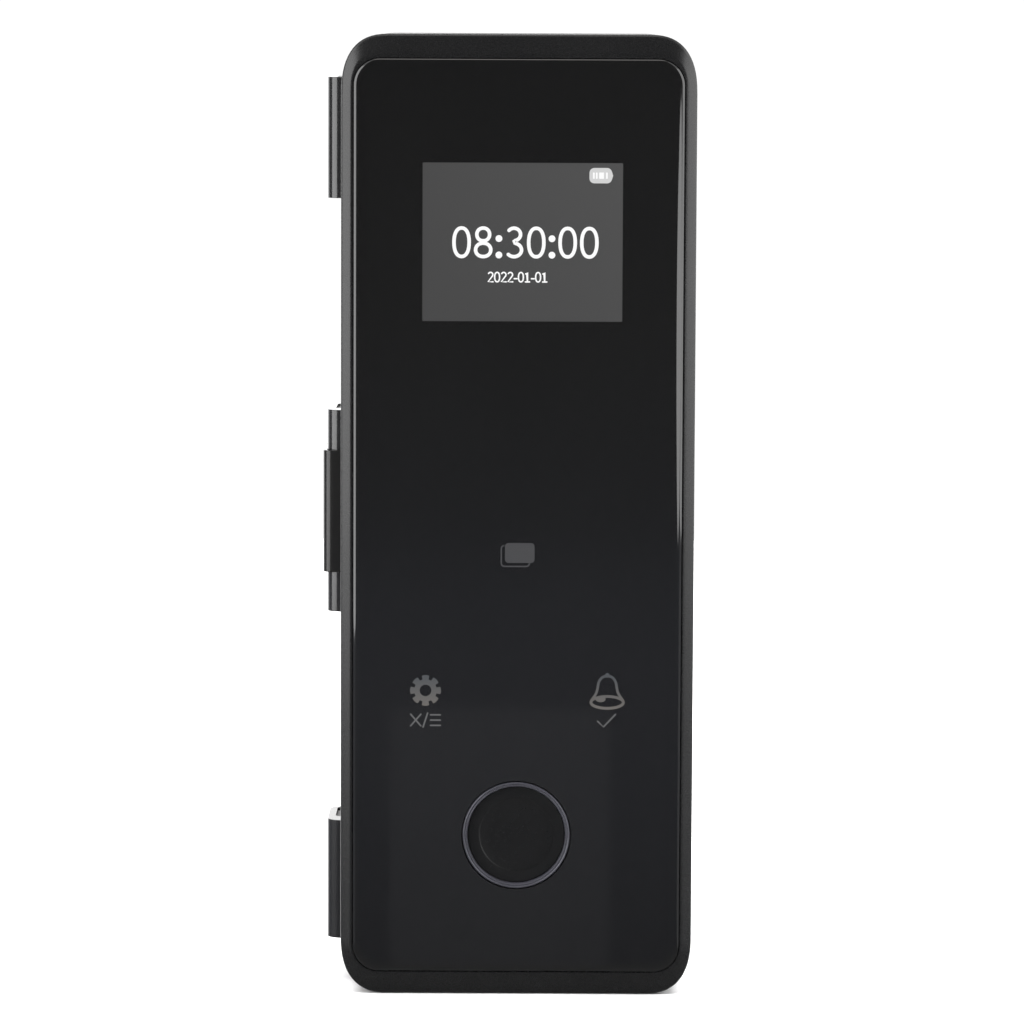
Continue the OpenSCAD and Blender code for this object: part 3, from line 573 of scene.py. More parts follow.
# The sensor's rim, in the same terms, and its dished face by radius
PAD_RIM = [(-1.02, 3.3), (-1.02, 1.1), (-1.1, 1.02), (-1.3, 1.0)]
PAD_FACE = [(7.5, 1.0), (7.38, 1.01), (7.25, 1.04), (7.1, 1.06), (5.0, 1.09), (2.5, 1.11), (0.02, 1.115)]


def fingerprint_reader():
    """The turned ring and the dished sensor inside it."""
    rim = [(FINGER_R + out, GLASS_Y + back) for out, back in PAD_RIM]
    face = [(r, GLASS_Y + back) for r, back in PAD_FACE]
    ring = [(FINGER_R + out, GLASS_Y + back) for out, back in RING]
    turned("fingerprint_ring", ring, FINGER_Z, "bezel_metal", "frame", "fingerprint_bezel", ring=True)
    turned("fingerprint_pad", rim + face, FINGER_Z, "sensor_black", "frame", "fingerprint_sensor")


def turned(name, profile, z, slot, body, node, ring=False):
    """A finely turned piece about a Y axis at height z, standing for a node."""
    bm = bmesh.new()
    lathe(bm, profile, z=z, ring=ring, steps=128)
    place(new_object(name, bm, [MATERIALS[slot]]), body, slot, node)


# ---- marks behind the glass ----

def mark(name, outlines, kind, x=0.0, z=0.0, scale=1.0, lift=0.0):
    """Flat closed outlines, filled even-odd, as a thin plate just in front of the glass."""
    curve = bpy.data.curves.new(name, "CURVE")
    curve.dimensions = "2D"
    curve.fill_mode = "BOTH"
    curve.extrude = MARK_T / 2
    for outline in outlines:
        spline = curve.splines.new("POLY")
        spline.points.add(len(outline) - 1)
        for point, (u, v) in zip(spline.points, outline):
            point.co = (x + u * scale, z + v * scale, 0, 1)
        spline.use_cyclic_u = True
    flat = bpy.data.objects.new(name + "_curve", curve)
    bpy.context.scene.collection.objects.link(flat)
    bpy.context.view_layer.update()
    mesh = bpy.data.meshes.new_from_object(flat.evaluated_get(bpy.context.evaluated_depsgraph_get()))
    bpy.data.objects.remove(flat)
    bm = bmesh.new()
    bm.from_mesh(mesh)
    bpy.data.meshes.remove(mesh)
    front = GLASS_Y - SURFACE_GAP - lift
    bm.transform(Matrix.Translation((0, front, 0)) @ Matrix.Rotation(math.radians(90), 4, "X"))
    obj = new_object(name, bm, [MATERIALS[kind]])
    for face in obj.data.polygons:
        face.use_smooth = False
    place(obj, "frame", "screen" if kind in ("screen", "digits", "battery_mark") else "cover_glass")


def stroke(points, width, closed=False):
    """Outlines of a line of even width, with round ends."""
    n = len(points)
    left, right = [], []
    for i, (x, y) in enumerate(points):
        if closed:
            before, after = points[i - 1], points[(i + 1) % n]
        else:
            before, after = points[max(i - 1, 0)], points[min(i + 1, n - 1)]
        dx, dy = after[0] - before[0], after[1] - before[1]
        length = math.hypot(dx, dy) or 1.0
        nx, ny = -dy / length * width / 2, dx / length * width / 2
        left.append((x + nx, y + ny))
        right.append((x - nx, y - ny))
    if closed:
        return [left, right[::-1]]
    ends = []
    for (x, y), (px, py) in ((points[-1], left[-1]), (points[0], right[0])):
        start = math.degrees(math.atan2(py - y, px - x))
        ends.append(arc(x, y, width / 2, start, start - 180, 8)[1:-1])
    return [left + ends[0] + right[::-1] + ends[1]]


def oval(cx, cy, rx, ry, start=0.0, end=360.0, steps=40, power=2.0):
    """Points of an oval or of a part of one."""
    out = []
    closed = abs(end - start) >= 360
    for i in range(steps + (0 if closed else 1)):
        t = math.radians(start + (end - start) * i / steps)
        c, s = math.cos(t), math.sin(t)
        u = math.copysign(abs(c) ** (2 / power), c)
        v = math.copysign(abs(s) ** (2 / power), s)
        out.append((cx + rx * u, cy + ry * v))
    return out


DIGIT_W = 0.585


def digit(char, weight):
    """Outlines of a plain numeral one unit high, with its width."""
    w, h = DIGIT_W - weight, 1 - weight
    m = weight / 2
    cx = DIGIT_W / 2
    if char == "0":
        return stroke(oval(cx, 0.5, w / 2, h / 2, power=2.25), weight, True), DIGIT_W
    if char == "8":
        top = oval(cx, 0.745, w / 2 * 0.84, 0.255 - m, power=2.1)
        low = oval(cx, 0.265, w / 2, 0.265 - m, power=2.1)
        return stroke(top, weight, True) + stroke(low, weight, True), DIGIT_W
    if char == "3":
        top = oval(cx - 0.02, 0.75, w / 2 * 0.86, 0.25 - m, 140, -90, 26)
        low = oval(cx - 0.02, 0.265, w / 2, 0.265 - m, 90, -138, 26)
        return stroke(top + low[1:], weight), DIGIT_W
    if char == "2":
        top = oval(cx, 0.72, w / 2 * 0.92, 0.28 - m, 150, -35, 22)
        return stroke(top + [(m, m), (DIGIT_W - m, m)], weight), DIGIT_W
    if char == "1":
        flag = [(cx - 0.17, 0.8), (cx, 1 - m), (cx, m)]
        foot = [(cx - 0.19, m), (cx + 0.19, m)]
        return stroke(flag, weight) + stroke(foot, weight), DIGIT_W
    if char == ":":
        dot = 0.1075
        return [oval(dot, y, dot, dot, steps=20) for y in (dot, 0.62)], 2 * dot
    return stroke([(0.05, 0.36), (0.3, 0.36)], weight), 0.35


def merge(outlines):
    """Groups outlines into shapes: a ring's two outlines stay together."""
    groups, i = [], 0
    while i < len(outlines):
        pair = outlines[i:i + 2]
        ring = len(pair) == 2 and len(pair[0]) == len(pair[1]) >= 36
        groups.append(outlines[i:i + 2] if ring else outlines[i:i + 1])
        i += 2 if ring else 1
    return groups


def numerals(name, text, x, z, height, weight, spacing):
    """A run of numerals centred on x, standing on z."""
    glyphs = [digit(c, weight) for c in text]
    total = sum(width for _, width in glyphs) + spacing * (len(text) - 1)
    cursor = x - total * height / 2
    for i, (outlines, width) in enumerate(glyphs):
        for k, outline in enumerate(merge(outlines)):
            mark(f"{name}_{i}_{k}", outline, "digits", cursor, z, height, lift=2 * SURFACE_GAP)
        cursor += (width + spacing) * height


# Where the marks stand on the glass: x and z, in millimetres
SCREEN_AT, SCREEN_SIZE = (0.77, 54.5), (39.15, 31.0)
CLOCK_AT, CLOCK_H = (1.33, 51.32), 6.27
DATE_AT, DATE_H = (-0.17, 46.6), 2.13
BATTERY_AT = (15.98, 67.56)
CARD_AT = (0.48, -6.62)
GEAR_AT, BELL_AT = (-18.0, -33.98), (17.85, -34.05)
LEFT_LABEL_AT, RIGHT_LABEL_AT = (-18.02, -39.88), (17.7, -39.88)


def screen_marks():
    """The lit screen with its clock, date and battery sign."""
    half_w, half_h = SCREEN_SIZE[0] / 2, SCREEN_SIZE[1] / 2
    mark("screen_image", [rounded(half_w, half_h, 0.15, 0.15, steps=3)], "screen", *SCREEN_AT)
    numerals("clock", "08:30:00", *CLOCK_AT, CLOCK_H, weight=0.112, spacing=0.09)
    numerals("date", "2022-01-01", *DATE_AT, DATE_H, weight=0.135, spacing=0.02)
    battery_sign(*BATTERY_AT)


def battery_sign(x, z):
    """A rounded pill with a nose, and four bars of charge."""
    half_w, nose_h = 2.2, 0.75
    pill = rounded(half_w, 1.5, 0.95, 0.95, steps=6)
    body = [p for p in pill if p[0] < half_w - 0.01 or abs(p[1]) > 0.8]
    body += [(half_w, nose_h), (half_w + 0.22, 0.0), (half_w, -nose_h)]
    body.sort(key=lambda p: math.atan2(p[1], p[0]))
    mark("battery_sign", [body], "battery_mark", x, z, lift=2 * SURFACE_GAP)
    for i, (place_x, half) in enumerate(((-1.35, 0.17), (-0.78, 0.17), (0.16, 0.48), (1.2, 0.17))):
        bar = rounded(half, 0.62, 0.12, 0.12, steps=3)
        mark(f"battery_bar_{i}", [bar], "digits", x + place_x, z, lift=4 * SURFACE_GAP)


def card_marks():
    """A solid card in front of an outlined one."""
    mark("card_solid", [rounded(2.91, 1.965, 0.7, 0.7, steps=6)], "card_mark", *CARD_AT)
    x0, x1, z0, z1, r = -3.16, 2.38, -9.28, -5.15, 0.65
    path = [(-2.6, z1)] + arc(x0 + r, z1 - r, r, 90, 180, 5) + arc(x0 + r, z0 + r, r, 180, 270, 5)
    path += arc(x1 - r, z0 + r, r, 270, 350, 5) + [(x1, z0 + 0.75)]
    mark("card_outline", stroke(path, 0.28), "card_mark")


def gear_mark(x, z):
    """Eight-toothed gear with a hole."""
    tooth = ((-15.5, 2.25), (-14, 3.0), (-5, 3.06), (5, 3.06), (14, 3.0), (15.5, 2.25))
    outline = []
    for i in range(8):
        middle = math.radians(45 * i + 90)
        for offset, radius in tooth:
            t = middle + math.radians(offset)
            outline.append((radius * math.cos(t), radius * math.sin(t)))
    mark("gear_key", [outline, oval(0, 0, 1.15, 1.15, steps=32)], "key_marks", x, z)


def smooth(points, steps):
    """Catmull-Rom curve through the points."""
    out = []
    n = len(points)
    for i in range(n - 1):
        p0, p1, p2, p3 = points[max(i - 1, 0)], points[i], points[i + 1], points[min(i + 2, n - 1)]
        for k in range(steps):
            t = k / steps
            out.append(tuple(
                0.5 * (2 * p1[j] + (p2[j] - p0[j]) * t + (2 * p0[j] - 5 * p1[j] + 4 * p2[j] - p3[j]) * t * t
                       + (3 * p1[j] - p0[j] - 3 * p2[j] + p3[j]) * t ** 3) for j in (0, 1)))
    return out + [points[-1]]


def bell_mark(x, z):
    """Outlined bell with a knob, an oval mouth and a clapper."""
    side = [(0.0, 3.05), (0.75, 2.95), (1.35, 2.45), (1.72, 1.7), (1.88, 0.8), (2.08, -0.1),
            (2.5, -0.9), (3.1, -1.75)]
    dome = [(-u, v) for u, v in side[::-1]] + side[1:]
    mark("bell_dome", stroke(smooth(dome, 4), 0.5), "key_marks", x, z)
    mark("bell_knob", [oval(0, 3.35, 0.42, 0.32, steps=20)], "key_marks", x, z)
    mouth = oval(0, -2.15, 3.2, 1.18, steps=48)
    mark("bell_mouth", stroke(mouth, 0.55, True), "key_marks", x, z)
    mark("bell_clapper", [oval(-1.3, -1.5, 1.0, 0.62, steps=24)], "key_marks", x, z, lift=SURFACE_GAP)


def key_labels():
    """Plain signs under the keys: cancel and menu on the left, a tick on the right."""
    thin = 0.3
    signs = {
        "cancel_a": [(-2.9, -1.15), (-0.9, 1.15)],
        "cancel_b": [(-2.9, 1.15), (-0.9, -1.15)],
        "divider": [(-0.45, -1.4), (0.45, 1.4)],
    }
    for i in range(3):
        bar_z = 1.05 - 1.05 * i
        signs[f"menu_{i}"] = [(1.0, bar_z), (2.95, bar_z)]
    for name, line in signs.items():
        lift = SURFACE_GAP if name == "cancel_b" else 0.0
        mark(name, stroke(line, thin), "label_marks", *LEFT_LABEL_AT, lift=lift)
    tick = [(-1.7, -0.1), (-0.55, -1.2), (1.8, 1.3)]
    mark("tick", stroke(tick, thin), "label_marks", *RIGHT_LABEL_AT)


# ---- brackets ----

def bends(x0, y0, y1, radius, steps=BEND_STEPS):
    """The two outer bends of a U, from its front arm round to its rear one."""
    front = arc(x0 + radius, y0 + radius, radius, 270, 180, steps)
    return front + arc(x0 + radius, y1 - radius, radius, 180, 90, steps)


def bracket_section():
    """A bracket in x and y: flange, shoulder beside the front unit, web, bends, rear flange."""
    front, rear = -BRACKET_T, SLOT + BRACKET_T
    shoulder_x = -BODY_W / 2 - 0.1
    outer = [(FLANGE_X, front), (shoulder_x, front), (shoulder_x, SHOULDER_Y)]
    outer += bends(WEB_X, SHOULDER_Y, rear, BEND_R) + [(FLANGE_X, rear)]
    inner = bends(WEB_X + BRACKET_T, 0.0, SLOT, BEND_R - BRACKET_T, 8)
    return outer + [(FLANGE_X, SLOT)] + inner[::-1] + [(FLANGE_X, 0.0)]


def bent_plate(name, node, outline, kind):
    """A section in x and y, carried over the node's height."""
    low, high = node_box(node)
    bm = bmesh.new()
    extrude(bm, outline, low.z, high.z)
    return new_object(name, bm, [MATERIALS[kind]])


def screw_holes(cut, *heights):
    """Countersunk holes through both arms of a bracket, sunk from the slot's side."""
    hole_r, sink_r, sink_d, screw_x = 1.5, 2.7, 1.2, -27
    front = [(hole_r, -BRACKET_T - 1), (hole_r, -sink_d), (sink_r, 0), (sink_r, 0.5)]
    rear = [(sink_r, SLOT - 0.5), (sink_r, SLOT), (hole_r, SLOT + sink_d), (hole_r, SLOT + BRACKET_T + 1)]
    for z in heights:
        lathe(cut, front, screw_x, z, steps=32)
        lathe(cut, rear, screw_x, z, steps=32)


def ribbon_groove(cut):
    """Space for the ribbon round the middle bracket."""
    x0, x1 = WEB_X, -21.3
    y0, y1 = -BRACKET_T + GROOVE_D, SLOT + BRACKET_T - GROOVE_D
    inner = [(x1, y0)] + bends(x0 + GROOVE_D, y0, y1, BEND_R - GROOVE_D, 8) + [(x1, y1)]
    outer = [(x1, y1 + 2), (x0 - 1, y1 + 2), (x0 - 1, SHOULDER_Y - 1), (x1, SHOULDER_Y - 1)]
    extrude(cut, inner + outer, -6, 6)


def brackets():
    """The three U brackets with their countersunk holes."""
    screws = {"top_bracket": 6, "middle_bracket": 14, "bottom_bracket": 6}
    for node, apart in screws.items():
        middle = node_centre(node)[2]
        obj = bent_plate(node + "_bent", node, bracket_section(), "bracket_black")
        carve(obj, screw_holes, middle - apart, middle + apart)
        if node == "middle_bracket":
            carve(obj, ribbon_groove)
        bevel(obj, 0.18)
        place(obj, "frame", "bracket_black", node)


def cable_cover():
    """The cover over the ribbon, a thin plate bent round the middle bracket."""
    end_x = -BODY_W / 2 - 0.2
    front, rear = SHOULDER_Y, SLOT + BRACKET_T
    outer = bends(WEB_X - COVER_T, front - COVER_T, rear + COVER_T, COVER_R)
    inner = bends(WEB_X, front, rear, COVER_R - COVER_T, 10)
    outline = [(end_x, front - COVER_T)] + outer + [(end_x, rear + COVER_T)]
    outline += [(end_x, rear)] + inner[::-1] + [(end_x, front)]
    obj = bent_plate("cable_cover_bent", "cable_cover", outline, "cover_black")
    bevel(obj, 0.15)
    place(obj, "frame", "bracket_black", "cable_cover")


# ---- rear unit ----

def rear_loops():
    """The rear unit's outer form, from its open front to its rounded rear face."""
    loops = [shell_loop(REAR_OPEN, 0.3), shell_loop(REAR_OPEN + 0.3)]
    for degrees in range(0, 91, 9):
        t = math.radians(degrees)
        loops.append(shell_loop(REAR_FACE - EDGE_R * (1 - math.sin(t)), EDGE_R * (1 - math.cos(t))))
    return loops


def lid_outline(grow):
    """Section of the battery cover in x and y, wider at its inner face; the opening is grown."""
    low, high = node_box("battery_cover")
    flare = 1.2
    w = (high.x - low.x) / 2 - flare + grow
    inner, outer = low.y - grow, REAR_FACE + grow * 4
    return [(-w - flare, inner), (w + flare, inner), (w, outer), (-w, outer)]


def lid_opening(cut):
    """Where the battery cover slides."""
    low, high = node_box("battery_cover")
    extrude(cut, lid_outline(0.25), low.z - 0.3, high.z + 20)


def battery_bay(cut):
    """The hole under the cover, down to the tray."""
    low, high = node_box("battery_tray")
    box(cut, (low.x + 1, REAR_FACE - 6, low.z + 1), (high.x - 1, REAR_FACE - 1, high.z - 1))


def bolt_window(cut):
    """The hole in the side wall that the bolt passes through."""
    low, high = node_box("deadbolt")
    gap = 0.3
    inner_x = -BODY_W / 2 + WALL + 1
    box(cut, (-BODY_W, low.y - gap, low.z - gap), (inner_x, high.y + gap, high.z + gap))


def rear_holes(cut):
    """The chamfered holes round the knob's bush and the exit button."""
    sizes = (("knob", 4.42, 4.8, 0.3, 0.1), ("exit_button", 7.3, 8.0, 0.7, 0.02))
    for node, r, chamfer_r, depth, past in sizes:
        profile = [(r, REAR_FACE - 5), (r, REAR_FACE - depth), (chamfer_r, REAR_FACE + past)]
        lathe(cut, profile + [(chamfer_r, REAR_FACE + 1)], z=node_centre(node)[2])


def rear_housing():
    """Rear shell with its battery bay, bolt window, knob bush and button hole."""
    bm = bmesh.new()
    open_front = shell_loop(REAR_OPEN, WALL, WALL, INNER_CORNER)
    rear_wall = shell_loop(REAR_FACE - 3, WALL, WALL, INNER_CORNER)
    loft(bm, [rear_wall, open_front] + rear_loops())
    obj = new_object("rear_housing_shell", bm, [MATERIALS["housing_rear_black"]])
    for build in (lid_opening, battery_bay, bolt_window, rear_holes):
        carve(obj, build)
    bevel(obj, 0.12, angle=50)
    place(obj, "frame", "housing_rear_black", "rear_housing")


def lid_solid(cut):
    """The space that the battery cover fills, open to the rear unit's upper end."""
    low, high = node_box("battery_cover")
    extrude(cut, lid_outline(0.0), low.z, high.z + 5)


def grip_groove(cut, z):
    """A round groove across the battery cover, with tapered ends."""
    ends = ((-11.6, 0.02), (-11.45, 0.35), (-11, 0.6), (11, 0.6), (11.45, 0.35), (11.6, 0.02))
    loft(cut, [[(x, y, v) for y, v in circle(r, 20, REAR_FACE, z)] for x, r in ends])


def battery_cover():
    """Sliding cover that carries on the shell's rounded edge, with a grooved grip."""
    bm = bmesh.new()
    loft(bm, rear_loops())
    obj = new_object("battery_cover_slide", bm, [MATERIALS["housing_rear_black"]])
    carve(obj, lid_solid, operation="INTERSECT")
    first, pitch = node_box("battery_cover")[0].z + 8, 2.4
    for i in range(6):
        carve(obj, grip_groove, first + pitch * i)
    bevel(obj, 0.12, angle=50)
    place(obj, "battery_cover", "housing_rear_black", "battery_cover")


SHAFT_BORE = 3.02       # radius of the hole for the shaft in the knob
DISC_T = 2.9            # where the grip stands on the knob's disc


def knob_grip(bm, base, top, z, half_h):
    """The waisted grip, with its outer end rounded over."""
    height, round_from = top - base - DISC_T, 0.85
    loops = []
    for i in range(13):
        t = i / 12
        over = max(0.0, (t - round_from) / (1 - round_from))
        ease = 0.9 * (1 - math.sqrt(max(0.0, 1 - over ** 2)))
        foot = (1 - t) ** 3
        half_w = 3.4 + 1.6 * foot + 0.35 * t - ease
        grip_h = half_h - ease + 0.8 * foot
        outline = rounded(half_w, grip_h, half_w - 0.01, half_w + 1.2, 2.2, steps=10)
        loops.append([(x, base + DISC_T + height * t, z + v) for x, v in outline])
    loft(bm, loops)


def knob():
    """Thumb knob: a chamfered disc with a waisted grip and a round hub."""
    low, high = node_box("knob")
    z = node_centre("knob")[2]
    r = (high.x - low.x) / 2
    base, top = low.y, high.y
    bm = bmesh.new()
    disc = [(SHAFT_BORE, 0), (r - 0.4, 0), (r, 0.4), (r, 2.2), (r - 0.25, 2.7), (r - 0.9, 3.0), (7.0, 3.15),
            (SHAFT_BORE, 3.2)]
    lathe(bm, [(radius, base + y) for radius, y in disc], z=z, ring=True)
    knob_grip(bm, base, top, z, r - 1)
    obj = new_object("thumb_knob", bm, [MATERIALS["housing_black"]])
    place(obj, "knob", "housing_black", "knob")
    knob_hub(base + 2.7, top - 3, z)


def knob_hub(y0, y1, z):
    """The knob's round hub, with the hole of its grub screw."""
    r = 6.0
    bm = bmesh.new()
    profile = [(SHAFT_BORE, y0), (r + 0.5, y0), (r + 0.2, y0 + 0.7), (r, y0 + 1.1), (r, y1 - 0.8),
               (r - 0.15, y1 - 0.35), (r - 0.45, y1 - 0.08), (r - 0.8, y1), (SHAFT_BORE, y1)]
    lathe(bm, profile, z=z, ring=True)
    obj = new_object("thumb_knob_hub", bm, [MATERIALS["housing_black"]])
    carve(obj, grub_hole, r - 2.6, r + 1, z)
    place(obj, "knob", "housing_black")


def grub_hole(cut, x0, x1, z):
    """The hole of the knob's grub screw, along X."""
    outline = circle(1.25, 24, node_centre("knob_screw")[1], z)
    loft(cut, [[(x, y, v) for y, v in outline] for x in (x0, x1)])


# The button's dished face and rolled rim: radius, and how far below its top
BUTTON_FACE = [
    (7.0, 0.35), (6.85, 0.1), (6.6, 0), (6.35, 0.03), (6.0, 0.2), (4.5, 0.42), (3.0, 0.56), (1.5, 0.64),
    (0.02, 0.66),
]


def exit_button():
    """Dished metal button with a rolled rim, a collar and a stem."""
    low, high = node_box("exit_button")
    collar_0, collar_1 = REAR_FACE - 4.2, REAR_FACE - 3.2
    stem = [(0.02, low.y), (1.6, low.y), (1.7, low.y + 0.1), (1.7, collar_0)]
    collar = [(8.4, collar_0), (8.4, collar_1), (7.0, collar_1)]
    face = [(r, high.y - drop) for r, drop in BUTTON_FACE]
    z = node_centre("exit_button")[2]
    turned("exit_button_cap", stem + collar + face, z, "button_silver", "exit_button", "exit_button")


# Half a cell's outline, from the nub end: radius, distance from that end, and 1 where it is bare metal
CELL = [
    (0.02, 0.0, 1), (2.5, 0.0, 1), (2.7, 0.15, 1), (2.7, 1.2, 1), (5.6, 1.25, 1), (5.9, 1.6, 0),
    (6.7, 1.6, 0), (CELL_R - 0.05, 2.0, 0), (CELL_R - 0.05, 50.0, 0), (6.8, 50.4, 0), (6.1, 50.45, 0),
    (6.0, 50.3, 1), (5.2, 50.3, 1), (0.02, 50.3, 1),
]


def cell_places():
    """The x of each of the four cells, and whether its nub is up."""
    return [((i - 1.5) * CELL_PITCH, i % 2 == 0) for i in range(4)]


def batteries():
    """Four cells with rolled ends, film and nub."""
    low, high = node_box("batteries")
    y = node_centre("batteries")[1]
    bm = bmesh.new()
    for x, up in cell_places():
        start, way = (high.z, -1) if up else (low.z, 1)
        for (r0, d0, _), (r1, d1, metal) in zip(CELL, CELL[1:]):
            rows = []
            for radius, distance in ((r0, d0), (r1, d1)):
                rows.append([(u, v, start + way * distance) for u, v in circle(radius, 48, x, y)])
            loft(bm, rows, caps=False, index=metal)
    obj = new_object("aa_cells", bm, [MATERIALS["cell_wrap"], MATERIALS["contact_nickel"]])
    place(obj, "frame", "cell_wrap", "batteries")


def coil_spring(bm, x, y, base, way):
    """A cone-shaped wire spring, from base along z."""
    turns, wire, height, steps = 4.5, 0.4, 4.7, 108
    section = circle(1, 8)
    up = Vector((0, 0, 1))
    rings = []
    for k in range(steps + 1):
        t = k / steps
        angle = 2 * math.pi * turns * t
        radius = 4.3 - 1.5 * t
        c, s = math.cos(angle), math.sin(angle)
        centre = Vector((x + radius * c, y + radius * s, base + way * (wire + height * t)))
        out = Vector((c, s, 0))
        rings.append([tuple(centre + wire * (u * out + v * up)) for u, v in section])
    loft(bm, rings)


def battery_contacts():
    """Coil springs and flat contacts at the ends of the tray."""
    low, high = node_box("battery_contacts")
    y = node_centre("battery_contacts")[1]
    half, thick = 5, 0.5
    bm = bmesh.new()
    for x, up in cell_places():
        for z in (low.z, high.z - thick):
            box(bm, (x - half, y - half, z), (x + half, y + half, z + thick))
        base, way = (low.z + thick, 1) if up else (high.z - thick, -1)
        coil_spring(bm, x, y, base, way)
    obj = new_object("battery_springs", bm, [MATERIALS["contact_nickel"]])
    place(obj, "frame", "contact_nickel", "battery_contacts")


def usb_tongue():
    """Contact tongue inside the emergency power socket."""
    low, high = node_box("usb_socket")
    y = node_centre("usb_socket")[1]
    bm = bmesh.new()
    outline = [(x, y + v) for x, v in rounded(3.2, 0.35, 0.3, 0.3, steps=4)]
    extrude(bm, outline, low.z + 0.8, high.z - 0.5)
    obj = new_object("usb_tongue", bm, [MATERIALS["switch_black"]])
    place(obj, "frame", "switch_black")


# ---- stage, light and camera ----

CAMERA_AT = (0.00218, -0.9932, 0.09827)
CAMERA_TURN, CAMERA_TILT, CAMERA_ROLL = 0.192, 5.68, 0.237
LENS = 174.87


def camera():
    """Long lens, a little above the middle and looking down at the lock."""
    data = bpy.data.cameras.new("camera")
    data.sensor_width = 36
    data.lens = LENS
    data.clip_start = 0.05
    data.clip_end = 50
    obj = bpy.data.objects.new("camera", data)
    bpy.context.scene.collection.objects.link(obj)
    turn = Matrix.Rotation(math.radians(CAMERA_TURN), 4, "Z")
    tilt = Matrix.Rotation(math.radians(90 - CAMERA_TILT), 4, "X")
    roll = Matrix.Rotation(math.radians(CAMERA_ROLL), 4, "Z")
    obj.matrix_world = Matrix.Translation(CAMERA_AT) @ turn @ tilt @ roll
    bpy.context.scene.camera = obj


def floor():
    """Pale floor under the lock."""
    mesh = bpy.data.meshes.new("floor")
    bm = bmesh.new()
    z = SHELL_LOW.z * MM
    radii = (0.0005, 0.2, 0.4, 0.6, 0.85)
    loft(bm, [[(x, y, z) for x, y in circle(radius, 96)] for radius in radii], caps=False)
    bm.to_mesh(mesh)
    bm.free()
    mesh.materials.append(finish("floor_white", grey(0.93), 0.7, spread=0.05, tint=0.02, scale=30))
    obj = bpy.data.objects.new("floor", mesh)
    bpy.context.scene.collection.objects.link(obj)
    obj.visible_glossy = False


LIGHT_DISTANCE = 1.0


def softbox(name, azimuth, spread, heights, radiance, shape="RECTANGLE"):
    """An upright softbox: azimuth and half-angle in degrees from straight in front."""
    width = 2 * LIGHT_DISTANCE * math.tan(math.radians(spread))
    height = heights[1] - heights[0]
    data = bpy.data.lights.new(name, "AREA")
    data.shape = shape
    data.size = width
    data.size_y = height
    data.energy = radiance * math.pi * width * height
    obj = bpy.data.objects.new(name, data)
    bpy.context.scene.collection.objects.link(obj)
    turn = math.radians(azimuth)
    x, y = LIGHT_DISTANCE * math.sin(turn), -LIGHT_DISTANCE * math.cos(turn)
    obj.location = (x, y, sum(heights) / 2)
    obj.rotation_euler = (math.radians(90), 0, turn)
    obj.visible_camera = False


def overhead(name, size, power):
    """A broad soft light above the floor, which doesn't show in the glossy faces."""
    data = bpy.data.lights.new(name, "AREA")
    data.shape = "SQUARE"
    data.size = size
    data.energy = power
    obj = bpy.data.objects.new(name, data)
    bpy.context.scene.collection.objects.link(obj)
    obj.location = (0, 0.3, 1.6)
    obj.visible_glossy = False
    obj.visible_camera = False


def lights():
    """A tall softbox on each side, dimmer above and below, a small one in front, and a fill."""
    left, right = (-67, 21), (80, 30)
    softbox("left_softbox", *left, (-0.148, 1.0), 5.3)
    softbox("left_upper_card", *left, (1.0, 2.6), 1.6)
    softbox("left_low_card", *left, (-0.3, -0.148), 0.25)
    softbox("right_front_softbox", 31.5, 19, (-0.108, 0.078), 3.6, shape="ELLIPSE")
    softbox("right_softbox", *right, (-0.107, 0.9), 4.0)
    softbox("right_upper_card", *right, (0.9, 2.4), 1.4)
    softbox("right_low_card", *right, (-0.3, -0.107), 0.42)
    softbox("low_card", -0.5, 2.5, (-0.5, -0.174), 0.11)
    overhead("top_fill", 2.4, 115)


SKY_FULL = 3.0


def sky_ramp(tree, source, stops, full=SKY_FULL):
    """Colours along one component of a direction, from -1 to 1, as shares of full."""
    spread = tree.nodes.new("ShaderNodeMapRange")
    spread.inputs["From Min"].default_value = -1
    node = tree.nodes.new("ShaderNodeValToRGB")
    elements = node.color_ramp.elements
    while len(elements) < len(stops):
        elements.new(0.5)
    for element, (value, color) in zip(elements, stops):
        element.position = (value + 1) / 2
        element.color = (*(c / full for c in color), 1)
    tree.links.new(source, spread.inputs["Value"])
    tree.links.new(spread.outputs["Result"], node.inputs["Fac"])
    return node.outputs["Color"]


OVERHEAD = (2.75, 2.65, 2.57)
# Brightness by a direction's height, by how far it points to the rear, and by height again
FRONT_SKY = [
    (-1.0, grey(0.25)), (-0.34, grey(0.2)), (-0.19, (0.13, 0.135, 0.16)), (-0.16, (0.17, 0.18, 0.22)),
    (-0.135, (0.2, 0.21, 0.255)), (-0.115, (0.18, 0.19, 0.23)), (-0.1, (0.115, 0.12, 0.14)),
    (-0.06, grey(0.09)), (0.0, grey(0.05)), (0.5, grey(0.04)), (0.93, grey(0.05)),
    (0.97, OVERHEAD), (1.0, OVERHEAD),
]
BEHIND = [(0.55, grey(0.0)), (0.66, grey(2.0))]
LEVEL = [(-0.4, grey(0.0)), (-0.25, grey(1.0)), (0.3, grey(1.0)), (0.5, grey(0.0))]


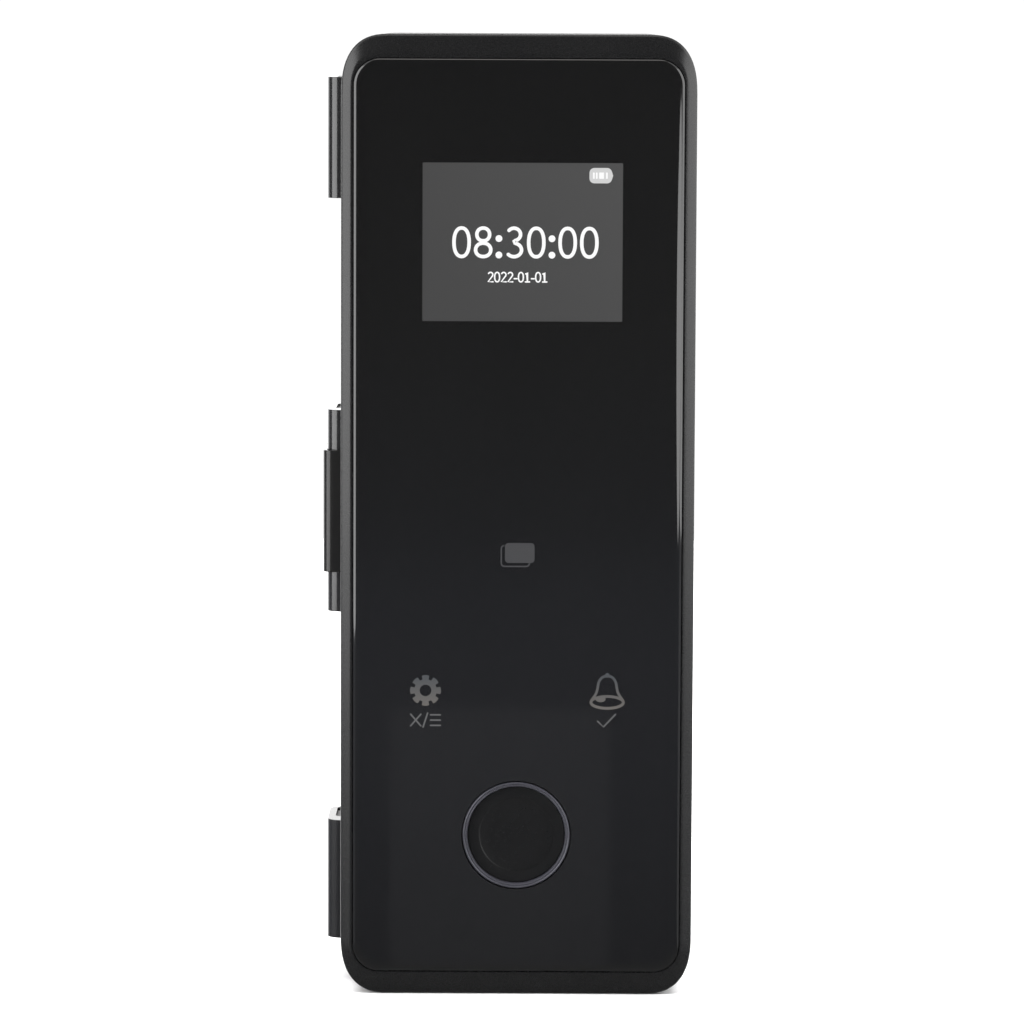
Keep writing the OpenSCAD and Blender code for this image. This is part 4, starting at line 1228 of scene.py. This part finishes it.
def world():
    """White to the camera; what shines on the lock is dim in front, with a white sweep behind."""
    sky = bpy.data.worlds.new("studio")
    bpy.context.scene.world = sky
    sky.use_nodes = True
    tree = sky.node_tree
    tree.nodes.clear()
    coords = tree.nodes.new("ShaderNodeTexCoord")
    split = tree.nodes.new("ShaderNodeSeparateXYZ")
    tree.links.new(coords.outputs["Generated"], split.inputs[0])
    sweep = tree.nodes.new("ShaderNodeMix")
    sweep.data_type = "RGBA"
    sweep.blend_type = "MULTIPLY"
    sweep.inputs["Factor"].default_value = 1.0
    tree.links.new(sky_ramp(tree, split.outputs["Y"], BEHIND), sweep.inputs["A"])
    tree.links.new(sky_ramp(tree, split.outputs["Z"], LEVEL, 1.0), sweep.inputs["B"])
    both = tree.nodes.new("ShaderNodeMix")
    both.data_type = "RGBA"
    both.blend_type = "LIGHTEN"
    both.inputs["Factor"].default_value = 1.0
    tree.links.new(sky_ramp(tree, split.outputs["Z"], FRONT_SKY), both.inputs["A"])
    tree.links.new(sweep.outputs["Result"], both.inputs["B"])
    shine = tree.nodes.new("ShaderNodeBackground")
    shine.inputs["Strength"].default_value = SKY_FULL
    tree.links.new(both.outputs["Result"], shine.inputs["Color"])
    seen = tree.nodes.new("ShaderNodeBackground")
    seen.inputs["Color"].default_value = (1, 1, 1, 1)
    seen.inputs["Strength"].default_value = 1.05
    ray = tree.nodes.new("ShaderNodeLightPath")
    pick = tree.nodes.new("ShaderNodeMixShader")
    out = tree.nodes.new("ShaderNodeOutputWorld")
    tree.links.new(ray.outputs["Is Camera Ray"], pick.inputs["Fac"])
    tree.links.new(shine.outputs[0], pick.inputs[1])
    tree.links.new(seen.outputs[0], pick.inputs[2])
    tree.links.new(pick.outputs[0], out.inputs["Surface"])


def build_all():
    """Every piece of the lock."""
    dress_cad_nodes()
    front_housing()
    glass_panel()
    fingerprint_reader()
    screen_marks()
    card_marks()
    gear_mark(*GEAR_AT)
    bell_mark(*BELL_AT)
    key_labels()
    brackets()
    cable_cover()
    rear_housing()
    battery_cover()
    knob()
    exit_button()
    batteries()
    battery_contacts()
    usb_tongue()


bpy.context.scene.view_settings.view_transform = "Standard"
camera()
world()
lights()
floor()
build_all()
